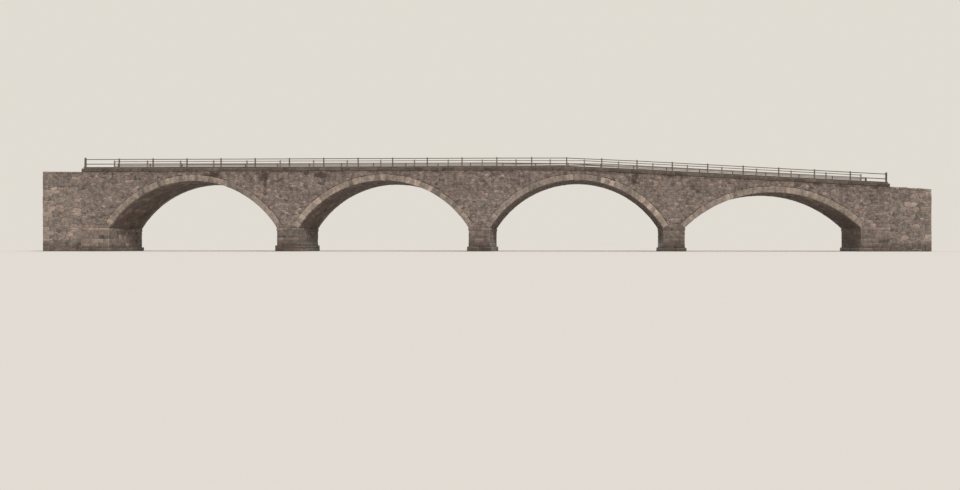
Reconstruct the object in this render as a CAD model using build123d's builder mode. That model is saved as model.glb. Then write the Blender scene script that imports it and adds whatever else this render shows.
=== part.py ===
"""Stone arch bridge of four segmental arches, as a scale model at 1:10.

One millimetre here is one centimetre of the bridge. X runs along the bridge, Y across it,
from the downstream face at -Y to the upstream face at +Y, and Z is up from the water line.
The origin is under the middle of the bridge, on the plane that its footings stand on.
"""

import os
from dataclasses import dataclass
from math import asin, atan, cos, degrees, radians, sin

from build123d import *

# Arches
arch_count = 4
summit_arch = 2  # the roadway starts to fall over this crown, counted from 0 at the left
arch_span = 1620.0  # clear width between pier faces at the springing
arch_rise = 450.0  # of the arches under the level roadway
springing_height = 220.0
ring_depth = 55.0  # radial depth of the arches' stones
ring_width = 50.0  # how far a dressed ring reaches into the barrel
ring_proud = 3.0  # how far dressed stone stands out from the rubble
keystone_width = 48.0  # at the underside
ring_joint = 1.0  # between a keystone and the two halves of its ring

# Piers and abutments
pier_thickness = 195.0
abutment_length = 262.0
wing_length = 380.0
pier_footing_heights = (56.0, 45.0, 36.0)
abutment_footing_height = 36.0
footing_ledge = 18.0
footing_weathering = 6.0  # chamfer along the top of a footing
impost_height = 24.0  # of the projecting course under the springing
impost_proud = 4.0

# Walls and roadway, with heights counted from the top of the walls
bridge_width = 800.0  # over the rubble faces
wall_thickness = 60.0
crown_cover = 35.0  # rubble over the dressed ring, under the level roadway
end_crown_cover = 53.0  # the same over the last arch, under the falling roadway
grade = 0.056  # fall of the roadway past the summit
summit_curve = 500.0  # length of the curve between the level and the fall
road_level = -5.0
road_depth = 25.0
run_joint = 1.0  # between the level, curved and falling runs of what lies along the bridge
footway_width = 245.0
footway_height = 15.0

# Coping
coping_height = 30.0
coping_overhang = 10.0

# Railings
bay_count = 23
rail_end_setback = 30.0  # from the coping's end to the middle of the end post
post_size = 11.0
end_post_size = 16.0
post_height = 96.0  # from the coping's top
end_post_extra = 6.0
post_line = 25.0  # from the coping's outer edge to the middle of the posts
sill_width = 18.0
sill_height = 12.0
rail_thickness = 5.0
top_rail_height = 7.0
top_rail_drop = 8.0  # from the post's top to the rail's
middle_rail_height = 8.0
middle_rail_level = 36.0  # from the coping's top to the rail's underside

pitch = arch_span + pier_thickness
springing_x = (arch_count * arch_span + (arch_count - 1) * pier_thickness) / 2
abutment_x = springing_x + abutment_length
half_length = abutment_x + wing_length
half_width = bridge_width / 2
wall_top = springing_height + arch_rise + ring_depth + crown_cover
fall_angle = atan(grade)
inner_width = bridge_width - 2 * wall_thickness


def crown_x(number):
    """The middle of an arch, numbered from 0 at the left."""
    return (number - (arch_count - 1) / 2) * pitch


summit_x = crown_x(summit_arch)


def fall_at(x):
    """How far the roadway has fallen at x, away from the summit curve."""
    return max(0.0, grade * (x - summit_x))


@dataclass(frozen=True)
class Arch:
    """One segmental arch, by its middle and its rise."""

    centre_x: float
    rise: float

    @property
    def radius(self):
        """Radius of the underside."""
        return ((arch_span / 2) ** 2 + self.rise**2) / (2 * self.rise)

    @property
    def centre_z(self):
        """Height of the centre that the underside is struck from."""
        return springing_height + self.rise - self.radius

    @property
    def half_angle(self):
        """Degrees from the crown to a springing."""
        return degrees(asin(arch_span / 2 / self.radius))

    def skewback(self, side, depth):
        """The point at a depth into the ring on its left (-1) or right (1) bed."""
        reach = self.radius + depth
        angle = radians(self.half_angle)
        return (self.centre_x + side * reach * sin(angle), self.centre_z + reach * cos(angle))

    def profile(self):
        """Draws the side view of the arch's stones, in a sketch."""
        centre = (self.centre_x, self.centre_z)
        start = 90 - self.half_angle
        with BuildLine() as outline:
            CenterArc(centre, self.radius, start, 2 * self.half_angle)
            CenterArc(centre, self.radius + ring_depth, start, 2 * self.half_angle)
            for side in (-1, 1):
                Line(self.skewback(side, 0), self.skewback(side, ring_depth))
        make_face(outline.edges())

    def keystone_joints(self):
        """Cuts the joints on both sides of the keystone from that side view, in a sketch."""
        joint_angle = degrees(asin((keystone_width + ring_joint) / 2 / self.radius))
        middle = self.radius + ring_depth / 2
        for side in (-1, 1):
            lean = radians(side * joint_angle)
            place = (self.centre_x + middle * sin(lean), self.centre_z + middle * cos(lean))
            with Locations(Location(place, -side * joint_angle)):
                Rectangle(ring_joint, 2 * ring_depth, mode=Mode.SUBTRACT)


def rise_of(number):
    """The rise of an arch: the last one is lower, to keep its cover under the fall."""
    if number < arch_count - 1:
        return arch_rise
    crown = wall_top - fall_at(crown_x(number)) - end_crown_cover - ring_depth
    return crown - springing_height


arches = [Arch(crown_x(number), rise_of(number)) for number in range(arch_count)]
pier_centres = [(first.centre_x + second.centre_x) / 2 for first, second in zip(arches, arches[1:])]
sides = {"downstream": -1, "upstream": 1}


def roadway_line(height):
    """Draws the level run, the summit curve and the fall, at a height over the wall tops."""
    tangent = summit_curve / 2
    z = wall_top + height
    level = Line((-half_length, z), (summit_x - tangent, z))
    curve_end = (summit_x + tangent * cos(fall_angle), z - tangent * sin(fall_angle))
    curve = TangentArc(level @ 1, curve_end, tangent=level % 1)
    Line(curve @ 1, (half_length, z - fall_at(half_length)))


def runs(x_from, x_to):
    """The level, curved and falling runs between two places, with a joint between them."""
    tangent = summit_curve / 2
    joints = (summit_x - tangent, summit_x + tangent * cos(fall_angle))
    starts = [x_from, *[x + run_joint / 2 for x in joints]]
    ends = [*[x - run_joint / 2 for x in joints], x_to]
    return list(zip(starts, ends))


def strip(low, high, x_from, x_to):
    """Draws a band that follows the roadway, between two heights over the wall tops."""
    with BuildLine() as outline:
        roadway_line(low)
        roadway_line(high)
        for x in (-half_length, half_length):
            z = wall_top - fall_at(x)
            Line((x, z + low), (x, z + high))
    make_face(outline.edges())
    keep_between(x_from, x_to)


def under_walls(x_from, x_to, height=0.0):
    """Draws all that lies between the ground and a height over the wall tops."""
    with BuildLine() as outline:
        roadway_line(height)
        Polyline(
            (-half_length, wall_top + height),
            (-half_length, 0),
            (half_length, 0),
            (half_length, wall_top + height - fall_at(half_length)),
        )
    make_face(outline.edges())
    keep_between(x_from, x_to)


def keep_between(x_from, x_to):
    """Cuts a side view off at two places along the bridge."""
    reach = 2 * wall_top
    with Locations(((x_from + x_to) / 2, 0)):
        Rectangle(x_to - x_from, 2 * reach, mode=Mode.INTERSECT)


def side_view(far_y):
    """The plane of a side view, at the far face of what is extruded from it."""
    return Plane.XZ.offset(-far_y)


def far_face(side, outer, thickness):
    """Where the far face of a wall is, if its outer face is at outer on that side."""
    return outer if side > 0 else thickness - outer


def skew_top(left, right):
    """The two beds that a pier or abutment offers, from the left springing to the right."""
    points = []
    if left:
        points += [left.skewback(1, 0), left.skewback(1, ring_depth)]
    if right:
        points += [right.skewback(-1, ring_depth), right.skewback(-1, 0)]
    return points


def finish(built, name):
    """Labels a finished piece and writes it."""
    built.part.label = name
    export_step(built.part, f"parts/{name}.step")


os.makedirs("parts", exist_ok=True)

dressed_width = bridge_width + 2 * ring_proud
abutments = {"left": (-1, None, arches[0]), "right": (1, arches[-1], None)}


# Footings, each a ledge all round with a weathered top edge
def footing_block(x_from, x_to, height):
    """Adds a footing between two places, as wide as the dressed stone and its ledges."""
    width = dressed_width + 2 * footing_ledge
    with Locations(((x_from + x_to) / 2, 0, 0)):
        block = Box(x_to - x_from, width, height, align=(Align.CENTER, Align.CENTER, Align.MIN))
    return block.faces().sort_by(Axis.Z)[-1]


def impost_block(x_from, x_to):
    """Adds an impost between two places, as wide as the dressed stone and its projection."""
    width = dressed_width + 2 * impost_proud
    with Locations(((x_from + x_to) / 2, 0, springing_height)):
        Box(x_to - x_from, width, impost_height, align=(Align.CENTER, Align.CENTER, Align.MAX))


for number, (x, height) in enumerate(zip(pier_centres, pier_footing_heights), start=1):
    reach = pier_thickness / 2 + footing_ledge
    with BuildPart() as footing:
        top = footing_block(x - reach, x + reach, height)
        chamfer(top.edges(), length=footing_weathering)
    finish(footing, f"pier_{number}_footing")

# Piers, with a sloping bed on each side for the rings
for number, (left, right) in enumerate(zip(arches, arches[1:]), start=1):
    x = pier_centres[number - 1]
    foot = pier_footing_heights[number - 1]
    with BuildPart() as pier:
        with BuildSketch(side_view(dressed_width / 2)):
            with BuildLine():
                Polyline(
                    (x - pier_thickness / 2, foot),
                    *skew_top(left, right),
                    (x + pier_thickness / 2, foot),
                    close=True,
                )
            make_face()
        extrude(amount=dressed_width)
        reach = pier_thickness / 2 + impost_proud
        impost_block(x - reach, x + reach)
    finish(pier, f"pier_{number}")

# Abutments, with one bed each and their footing under them
for name, (side, left, right) in abutments.items():
    ledge = side * (springing_x - footing_ledge)
    back = side * abutment_x
    bed = skew_top(left, right)
    bed_top = max(height for _, height in bed)
    with BuildPart() as abutment:
        top = footing_block(min(ledge, back), max(ledge, back), abutment_footing_height)
        inland = top.edges().filter_by(Axis.Y).sort_by(Axis.X)[-1 if side > 0 else 0]
        chamfer(top.edges() - [inland], length=footing_weathering)
        with BuildSketch(side_view(dressed_width / 2)):
            with BuildLine():
                Polyline(
                    (side * springing_x, 0),
                    *(bed if left else reversed(bed)),
                    (back, bed_top),
                    (back, 0),
                    close=True,
                )
            make_face()
        extrude(amount=dressed_width)
        nose = side * (springing_x - impost_proud)
        impost_block(min(nose, back), max(nose, back))
    finish(abutment, f"{name}_abutment")

# Wing walls, with the roadway let into their tops
for name, (side, *_) in abutments.items():
    x_from, x_to = sorted((side * abutment_x, side * half_length))
    with BuildPart() as wing:
        with BuildSketch(side_view(half_width)):
            under_walls(x_from, x_to)
        extrude(amount=bridge_width)
        with BuildSketch(side_view(inner_width / 2)):
            strip(road_level - road_depth, road_depth, x_from, x_to)
        extrude(amount=inner_width, mode=Mode.SUBTRACT)
    finish(wing, f"{name}_wing_wall")

# Arches: a barrel between two dressed face rings
for number, arch in enumerate(arches, start=1):
    barrel_width = bridge_width - 2 * ring_width
    with BuildPart() as vault:
        with BuildSketch(side_view(barrel_width / 2)):
            arch.profile()
        extrude(amount=barrel_width)
    finish(vault, f"arch_{number}_vault")
    for name, side in sides.items():
        thickness = ring_width + ring_proud
        with BuildPart() as ring:
            with BuildSketch(side_view(far_face(side, half_width + ring_proud, thickness))):
                arch.profile()
                arch.keystone_joints()
            extrude(amount=thickness)
        finish(ring, f"arch_{number}_{name}_ring")


# Spandrel walls, parted over the crowns, and the fill between them
def over_arches(x_from, x_to, height=0.0):
    """Draws all that lies over the arches and their beds, up to a height over the wall tops."""
    under_walls(x_from, x_to, height)
    with Locations((0, springing_height / 2)):
        Rectangle(2 * half_length, springing_height, mode=Mode.SUBTRACT)
    for arch in arches:
        with Locations((arch.centre_x, arch.centre_z)):
            Circle(arch.radius + ring_depth, mode=Mode.SUBTRACT)
    for left, right in zip([None, *arches], [*arches, None]):
        beds = skew_top(left, right)
        if not left:
            beds = [(-abutment_x, springing_height), (-abutment_x, beds[0][1]), *beds]
        if not right:
            beds = [*beds, (abutment_x, beds[-1][1]), (abutment_x, springing_height)]
        with BuildLine() as outline:
            Polyline(*beds, close=True)
        make_face(outline.edges(), mode=Mode.SUBTRACT)


wall_ends = [-abutment_x, *[arch.centre_x for arch in arches], abutment_x]
for number, (x_from, x_to) in enumerate(zip(wall_ends, wall_ends[1:]), start=1):
    for name, side in sides.items():
        with BuildPart() as spandrel:
            with BuildSketch(side_view(far_face(side, half_width, wall_thickness))):
                over_arches(x_from, x_to)
            extrude(amount=wall_thickness)
        finish(spandrel, f"{name}_spandrel_{number}")

with BuildPart() as fill:
    with BuildSketch(side_view(inner_width / 2)):
        over_arches(-abutment_x, abutment_x, road_level - road_depth)
    extrude(amount=inner_width)
finish(fill, "spandrel_fill")

# Roadway and footway
with BuildPart() as roadway:
    with BuildSketch(side_view(inner_width / 2)):
        strip(road_level - road_depth, road_level, -half_length, half_length)
    extrude(amount=inner_width)
finish(roadway, "roadway")

footway_edge = footway_width - inner_width / 2
with BuildPart() as footway:
    for x_from, x_to in runs(-abutment_x, abutment_x):
        with BuildSketch(side_view(footway_edge)):
            strip(road_level, road_level + footway_height, x_from, x_to)
        extrude(amount=footway_width)
finish(footway, "footway")

# Coping, over the whole thickness of the walls and out past their faces
coping_edge = half_width + coping_overhang
coping_width = wall_thickness + coping_overhang
for name, side in sides.items():
    with BuildPart() as coping:
        for x_from, x_to in runs(-abutment_x, abutment_x):
            with BuildSketch(side_view(far_face(side, coping_edge, coping_width))):
                strip(0, coping_height, x_from, x_to)
            extrude(amount=coping_width)
    finish(coping, f"{name}_coping")


# Railings: a sill, posts on it, and two rails on the road side of the posts
def post_places(x_first, x_last, count):
    """The middles of evenly spaced posts, both ends included."""
    step = (x_last - x_first) / (count - 1)
    return [x_first + step * place for place in range(count)]


def build_posts(name, line_y, places, foot, ends):
    """Posts that stand at a height over the wall tops, their feet cut to the grade."""
    top = coping_height + post_height
    with BuildPart() as posts:
        for x in places:
            is_end = ends and x in (places[0], places[-1])
            size = end_post_size if is_end else post_size
            height = top + (end_post_extra if is_end else 0)
            with BuildSketch(side_view(line_y + size / 2)):
                strip(foot, height, x - size / 2, x + size / 2)
            extrude(amount=size)
    finish(posts, f"{name}_posts")


def build_rails(name, side, line_y, x_first, x_last):
    """The top and middle rails, on one face of the posts."""
    face = line_y + side * post_size / 2
    far = max(face, face + side * rail_thickness)
    top = coping_height + post_height - top_rail_drop
    middle = coping_height + middle_rail_level
    with BuildPart() as rails:
        for low, high in ((top - top_rail_height, top), (middle, middle + middle_rail_height)):
            for x_from, x_to in runs(x_first, x_last):
                with BuildSketch(side_view(far)):
                    strip(low, high, x_from, x_to)
                extrude(amount=rail_thickness)
    finish(rails, f"{name}_rails")


rail_end = abutment_x - rail_end_setback
places = post_places(-rail_end, rail_end, bay_count + 1)
bay = places[1] - places[0]
for name, side in sides.items():
    line_y = side * (coping_edge - post_line)
    with BuildPart() as sill:
        reach = rail_end + end_post_size
        for x_from, x_to in runs(-reach, reach):
            with BuildSketch(side_view(line_y + sill_width / 2)):
                strip(coping_height, coping_height + sill_height, x_from, x_to)
            extrude(amount=sill_width)
    finish(sill, f"{name}_sill")
    reach = rail_end - end_post_size / 2
    build_posts(f"{name}_railing", line_y, places, coping_height + sill_height, ends=True)
    build_rails(f"{name}_railing", -side, line_y, -reach, reach)

# Fence between the footway and the carriageway, its posts half a bay out of step
fence_y = footway_edge - post_size
fence_places = post_places(-rail_end + bay / 2, rail_end - bay / 2, bay_count)
build_posts("footway_fence", fence_y, fence_places, road_level + footway_height, ends=False)
build_rails("footway_fence", 1, fence_y, fence_places[0], fence_places[-1])
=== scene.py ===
"""Dresses the scale model of a four-arched stone bridge.

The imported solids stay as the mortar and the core. Rubble, dressed blocks, coping slabs, timbers, flags
and gravel are laid on them as meshes, in metres and in the solids' frame.
"""

import logging
import math
from collections.abc import Callable, Iterator, Sequence
from dataclasses import astuple, dataclass
from enum import Enum
from itertools import pairwise, product
from random import Random

import bpy
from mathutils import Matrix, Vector


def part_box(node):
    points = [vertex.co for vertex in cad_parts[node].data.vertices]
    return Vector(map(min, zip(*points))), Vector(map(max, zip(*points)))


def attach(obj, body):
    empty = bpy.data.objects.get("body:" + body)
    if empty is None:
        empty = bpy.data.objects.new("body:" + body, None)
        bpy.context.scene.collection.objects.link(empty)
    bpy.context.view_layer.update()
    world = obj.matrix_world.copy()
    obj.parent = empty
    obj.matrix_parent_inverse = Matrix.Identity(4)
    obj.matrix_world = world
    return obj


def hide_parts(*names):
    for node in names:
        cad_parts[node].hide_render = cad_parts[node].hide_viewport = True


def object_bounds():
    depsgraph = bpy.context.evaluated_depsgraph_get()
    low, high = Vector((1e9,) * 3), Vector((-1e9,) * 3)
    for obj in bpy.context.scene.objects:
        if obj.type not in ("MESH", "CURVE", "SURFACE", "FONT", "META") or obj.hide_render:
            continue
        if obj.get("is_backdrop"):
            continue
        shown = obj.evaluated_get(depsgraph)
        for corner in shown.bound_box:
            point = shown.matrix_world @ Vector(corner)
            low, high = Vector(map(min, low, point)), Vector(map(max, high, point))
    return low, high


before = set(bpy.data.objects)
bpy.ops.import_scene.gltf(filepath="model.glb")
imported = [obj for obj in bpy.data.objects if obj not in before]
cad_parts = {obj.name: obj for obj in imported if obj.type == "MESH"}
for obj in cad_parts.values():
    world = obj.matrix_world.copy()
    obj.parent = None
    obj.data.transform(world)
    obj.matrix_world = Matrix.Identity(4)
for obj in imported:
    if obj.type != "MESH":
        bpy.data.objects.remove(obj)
solids_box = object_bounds()
log = logging.getLogger("bridge")

Point = tuple[float, float]
Outline = list[Point]
Values = Sequence[float]
Place = Callable[[float, float, float], Vector]
Pair = tuple[float, float]
Colour = tuple[float, float, float]
Tones = tuple[Colour, Colour, Colour]
Material = bpy.types.Material
Socket = bpy.types.NodeSocket
Outputs = bpy.types.NodeOutputs

# The bridge's own sizes, as in its solids
SPAN = 1.62
PIER = 0.195
PITCH = SPAN + PIER
SPRINGING = 0.22
RING_DEPTH = 0.055
RING_WIDTH = 0.05
RING_PROUD = 0.003
IMPOST_HEIGHT = 0.024
IMPOST_PROUD = 0.004
LEDGE = 0.018
HALF_WIDTH = 0.4
WALL = 0.06
COPING_HEIGHT = 0.03
COPING_OVERHANG = 0.01
ABUTMENT_FOOTING = 0.036
SUMMIT_X = PITCH / 2
SUMMIT_CURVE = 0.5
GRADE = 0.056
ROAD_LEVEL = -0.005
ROAD_DEPTH = 0.025
FOOTWAY_HEIGHT = 0.015
FOOTWAY_EDGE = -0.095
BAYS = 23
RAIL_END_SETBACK = 0.03
POST = 0.011
END_POST = 0.016
POST_HEIGHT = 0.096
END_POST_EXTRA = 0.006
POST_LINE = 0.025
SILL_WIDTH = 0.018
SILL_HEIGHT = 0.012
RAIL = 0.005
TOP_RAIL = 0.007
TOP_RAIL_DROP = 0.008
MIDDLE_RAIL = 0.008
MIDDLE_RAIL_LEVEL = 0.036

FACE = HALF_WIDTH + RING_PROUD
SPRINGING_X = 2 * SPAN + 1.5 * PIER
ABUTMENT_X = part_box("downstream_coping")[1].x
HALF_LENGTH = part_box("right_wing_wall")[1].x
WALL_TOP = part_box("left_wing_wall")[1].z
INNER = HALF_WIDTH - WALL
POST_Y = HALF_WIDTH + COPING_OVERHANG - POST_LINE
RAIL_END = ABUTMENT_X - RAIL_END_SETBACK

TINY = 1e-6
STRIP_RUNS = 40  # straight runs of a strip along the roadway


class Side(Enum):
    """The two long faces of the bridge, by the sign of Y."""

    DOWNSTREAM = -1
    UPSTREAM = 1

    @property
    def label(self) -> str:
        """The side's name as the pieces have it."""
        return self.name.lower()

    def across(self, *distances: float) -> list[float]:
        """The lowest Y first, of places at distances off the bridge's middle on this side."""
        return sorted(self.value * distance for distance in distances)


def deck_drop(x: float) -> float:
    """Works out how far the roadway has fallen, round its summit and then straight.

    Args:
        x: A place along the bridge.

    Returns:
        The fall from the level part.
    """
    tangent = SUMMIT_CURVE / 2
    start = SUMMIT_X - tangent
    angle = math.atan(GRADE)
    end = SUMMIT_X + tangent * math.cos(angle)
    if x <= start:
        return 0.0
    if x >= end:
        return GRADE * (x - SUMMIT_X)
    radius = tangent / math.tan(angle / 2)
    return radius - math.sqrt(radius**2 - (x - start) ** 2)


def wall_top(x: float) -> float:
    """Height of the top of the walls at x."""
    return WALL_TOP - deck_drop(x)


@dataclass(frozen=True)
class Arch:
    """One segmental arch, by its number from the left, its middle and its rise."""

    number: int
    centre_x: float
    rise: float

    @classmethod
    def of_node(cls, number: int) -> "Arch":
        """Reads an arch from its barrel's solid."""
        low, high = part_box(f"arch_{number}_vault")
        return cls(number, (low.x + high.x) / 2, high.z - RING_DEPTH - SPRINGING)

    @property
    def radius(self) -> float:
        """Radius of the underside."""
        return ((SPAN / 2) ** 2 + self.rise**2) / (2 * self.rise)

    @property
    def centre_z(self) -> float:
        """Height of the centre that the underside is struck from."""
        return SPRINGING + self.rise - self.radius

    @property
    def half_angle(self) -> float:
        """Angle from the crown to a springing."""
        return math.asin(SPAN / 2 / self.radius)

    @property
    def length(self) -> float:
        """Length of the underside from springing to springing."""
        return 2 * self.half_angle * self.radius

    def at(self, along: float, depth: float, y: float) -> Vector:
        """A point of the ring, by its way along from the left springing, its depth into it and its Y."""
        angle, reach = along / self.radius - self.half_angle, self.radius + depth
        return Vector((self.centre_x + reach * math.sin(angle), y, self.centre_z + reach * math.cos(angle)))

    def bed(self, side: int) -> list[Point]:
        """The lower and the upper end of one bed that the ring springs from, -1 the left or 1 the right."""
        ends = [self.at(0.0 if side < 0 else self.length, depth, 0) for depth in (0, RING_DEPTH)]
        return [(end.x, end.z) for end in ends]


ARCHES = [Arch.of_node(number) for number in (1, 2, 3, 4)]


# Outlines and their cells

LEAST_SHARE = 0.35  # of an outline, what is left of it however far it is drawn in
SLOPE_STEP = 0.01


def clip(outline: Outline, through: Point, normal: Point) -> Outline:
    """Keeps the part of an outline on the near side of a line.

    Args:
        outline: Corners of a convex outline, in order.
        through: A point on the line.
        normal: Points to the side that is cut away.

    Returns:
        The corners that are left, in order, or none.
    """
    heights = [(u - through[0]) * normal[0] + (v - through[1]) * normal[1] for u, v in outline]
    kept: Outline = []
    for place, (u, v) in enumerate(outline):
        here, before = heights[place], heights[place - 1]
        if here * before < 0:
            share = before / (before - here)
            pu, pv = outline[place - 1]
            kept.append((pu + (u - pu) * share, pv + (v - pv) * share))
        if here <= 0:
            kept.append((u, v))
    return kept


def area_of(outline: Outline) -> float:
    """Area of an outline, positive where it runs counter-clockwise."""
    befores = [outline[-1], *outline[:-1]]
    return sum(pu * v - u * pv for (u, v), (pu, pv) in zip(outline, befores)) / 2


def middle_of(outline: Outline) -> Point:
    """Mean of an outline's corners."""
    return sum(u for u, _ in outline) / len(outline), sum(v for _, v in outline) / len(outline)


def halves_of(outline: Outline, middle: Point) -> Point:
    """How far an outline reaches from its middle, along each axis."""
    return max(abs(u - middle[0]) for u, _ in outline), max(abs(v - middle[1]) for _, v in outline)


def shrunk(outline: Outline, amount: float) -> Outline:
    """Draws an outline in towards its middle.

    Args:
        outline: Its corners, in order.
        amount: How far each side moves in.

    Returns:
        The smaller outline.
    """
    middle = middle_of(outline)
    keep = [max(LEAST_SHARE, 1 - amount / max(half, TINY)) for half in halves_of(outline, middle)]
    return [tuple(m + (c - m) * share for m, c, share in zip(middle, corner, keep)) for corner in outline]


def softened(outline: Outline, share: float) -> Outline:
    """Cuts each corner of an outline off.

    Args:
        outline: Its corners, in order.
        share: How much of the two edges goes with a corner.

    Returns:
        The outline with two corners for each one.
    """
    soft: Outline = []
    for place, (u, v) in enumerate(outline):
        for other in (place - 1, (place + 1) % len(outline)):
            ou, ov = outline[other]
            soft.append((u + (ou - u) * share, v + (ov - v) * share))
    return soft


def rectangle(u0: float, v0: float, u1: float, v1: float) -> Outline:
    """The four corners of a rectangle."""
    return [(u0, v0), (u1, v0), (u1, v1), (u0, v1)]


def within(outline: Outline, low: float, high: float) -> Outline:
    """The part of an outline between two places along its first axis."""
    return clip(clip(outline, (low, 0.0), (-1.0, 0.0)), (high, 0.0), (1.0, 0.0))


def slope_at(x: float) -> float:
    """Slope of the top of the walls at x."""
    return (wall_top(x + SLOPE_STEP) - wall_top(x - SLOPE_STEP)) / (2 * SLOPE_STEP)


def under_wall_top(outline: Outline, depth: float) -> Outline:
    """The part of a side face's outline that lies at least a depth under the top of the walls."""
    x = middle_of(outline)[0]
    return clip(outline, (x, wall_top(x) - depth), (-slope_at(x), 1.0))


def divided(length: float, shortest: float, longest: float, rng: Random) -> list[float]:
    """Parts a length into uneven lengths.

    Args:
        length: What is parted.
        shortest: About the shortest part.
        longest: About the longest part.
        rng: Source of the unevenness.

    Returns:
        The places of all the ends, from 0 to the length.
    """
    parts: list[float] = []
    while sum(parts) < length - shortest / 2:
        parts.append(rng.uniform(shortest, longest))
    parts = parts or [length]
    scale = length / sum(parts)
    places = [0.0]
    for part in parts:
        places.append(places[-1] + part * scale)
    return places


@dataclass(frozen=True)
class Cut:
    """How the stones of one kind of masonry are sized and dressed, in metres."""

    length: Pair
    height: Pair
    proud: float
    uneven: float
    joint: float
    arris: float
    wander: float
    rounding: float = 0.22
    rough: float = 0.0
    draft: float = 0.0034


RUBBLE = Cut((0.022, 0.060), (0.014, 0.031), 0.0018, 0.0007, 0.0016, 0.0028, 0.0012, 0.14, 0.0014)
BOULDERS = Cut((0.040, 0.096), (0.026, 0.052), 0.0024, 0.0010, 0.0022, 0.0044, 0.0016, 0.17, 0.0022)
SOFFIT = Cut((0.050, 0.110), (0.040, 0.048), 0.0016, 0.0006, 0.0012, 0.0018, 0.0012, 0.05)
BLOCKS = Cut((0.055, 0.105), (0.033, 0.042), 0.0018, 0.0008, 0.0011, 0.0022, 0.0012, 0.06, 0.0012)
QUOINS = Cut((0.060, 0.110), (0.040, 0.056), 0.0026, 0.0008, 0.0014, 0.0036, 0.0018, rough=0.0016)
FOOTING = Cut((0.070, 0.130), (0.026, 0.040), -0.0018, 0.0006, 0.0014, 0.0040, 0.0014, rough=0.0010)
VOUSSOIR = Cut((0.036, 0.052), (RING_DEPTH,) * 2, 0.0022, 0.0008, 0.0010, 0.0020, 0.0010, rough=0.0005)
SLABS = Cut((0.075, 0.140), (COPING_HEIGHT,) * 2, -0.0014, 0.0008, 0.0014, 0.0030, 0.0012, rough=0.0005)
FLAGS = Cut((0.055, 0.095), (0.050, 0.070), 0.0014, 0.0004, 0.0012, 0.0014, 0.0008, 0.018)
TIMBER = Cut((0.60, 1.00), (TOP_RAIL,) * 2, 0.0, 0.0002, 0.0004, 0.0008, 0.0004)

SCATTER = 0.30  # of a course's height, how far a rubble stone strays from its course
OMITTED = 0.07  # of the rubble's stones, those whose place their neighbours take
PINNINGS = 0.14  # small stones between the courses, for each large one
PINNING_SCATTER = 0.12  # of a course's height, how far a small stone strays from its bed
PINNING_ROOM = 0.4  # of the lowest course, the least distance of a small stone from another
PINNING_NEAR = 240  # how many of the last stones a small one is held against
CELL_REACH = 1.6  # of the longest stone, half of the square that a stone is cut from


def voronoi(seeds: Sequence[Point], stretch: float, reach: float) -> list[Outline]:
    """Finds the cell of each seed, by cutting a square down halfway to its neighbours.

    Args:
        seeds: The middles of the stones.
        stretch: How much longer than high a cell tends to be.
        reach: Half of the square that a cell starts from.

    Returns:
        One convex outline for each seed.
    """
    wide = [(u, v * stretch) for u, v in seeds]
    grid: dict[tuple[int, int], list[int]] = {}
    for index, (u, v) in enumerate(wide):
        grid.setdefault((int(u // reach), int(v // reach)), []).append(index)
    cells: list[Outline] = []
    for index, (u, v) in enumerate(wide):
        column, row = int(u // reach), int(v // reach)
        near = []
        for du, dv in product(range(-2, 3), repeat=2):
            for other in grid.get((column + du, row + dv), ()):
                if other != index:
                    ou, ov = wide[other]
                    near.append(((ou - u) ** 2 + (ov - v) ** 2, ou, ov))
        cell = rectangle(u - reach, v - reach, u + reach, v + reach)
        for distance, ou, ov in sorted(near):
            if distance > 4 * max((cu - u) ** 2 + (cv - v) ** 2 for cu, cv in cell):
                break
            cell = clip(cell, ((u + ou) / 2, (v + ov) / 2), (ou - u, ov - v))
        cells.append([(cu, cv / stretch) for cu, cv in cell])
    return cells


def rubble(box: Values, cut: Cut, rng: Random) -> list[Outline]:
    """Lays random rubble over a rectangle, in rough courses of uneven stones.

    Args:
        box: The rectangle's left end, foot, right end and top.
        cut: Sizes of the stones.
        rng: Source of the unevenness.

    Returns:
        The outlines of the stones, which may reach a little over the edges.
    """
    u0, v0, u1, v1 = box
    seeds: list[Point] = []
    room = PINNING_ROOM * cut.height[0]
    v = v0 - cut.height[0]
    while v < v1 + cut.height[0]:
        course = rng.uniform(*cut.height)
        u = u0 - rng.uniform(*cut.length)
        while u < u1 + cut.length[0]:
            length = rng.uniform(*cut.length)
            lift = rng.uniform(-SCATTER, SCATTER) * course
            if rng.random() > OMITTED:
                seeds.append((u + length / 2, v + course / 2 + lift))
            small = u + rng.uniform(0.0, length), v + rng.uniform(-PINNING_SCATTER, PINNING_SCATTER) * course
            near = seeds[-PINNING_NEAR:]
            if rng.random() < PINNINGS and all(math.dist(small, other) > room for other in near):
                seeds.append(small)
            u += length
        v += course
    return voronoi(seeds, sum(cut.length) / sum(cut.height), CELL_REACH * cut.length[1])


# Meshes of stones and timbers

Corner = tuple[int, int, int, int]
Numbers = Sequence[int]
SIGNS = list(product((0, 1), repeat=3))


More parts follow.
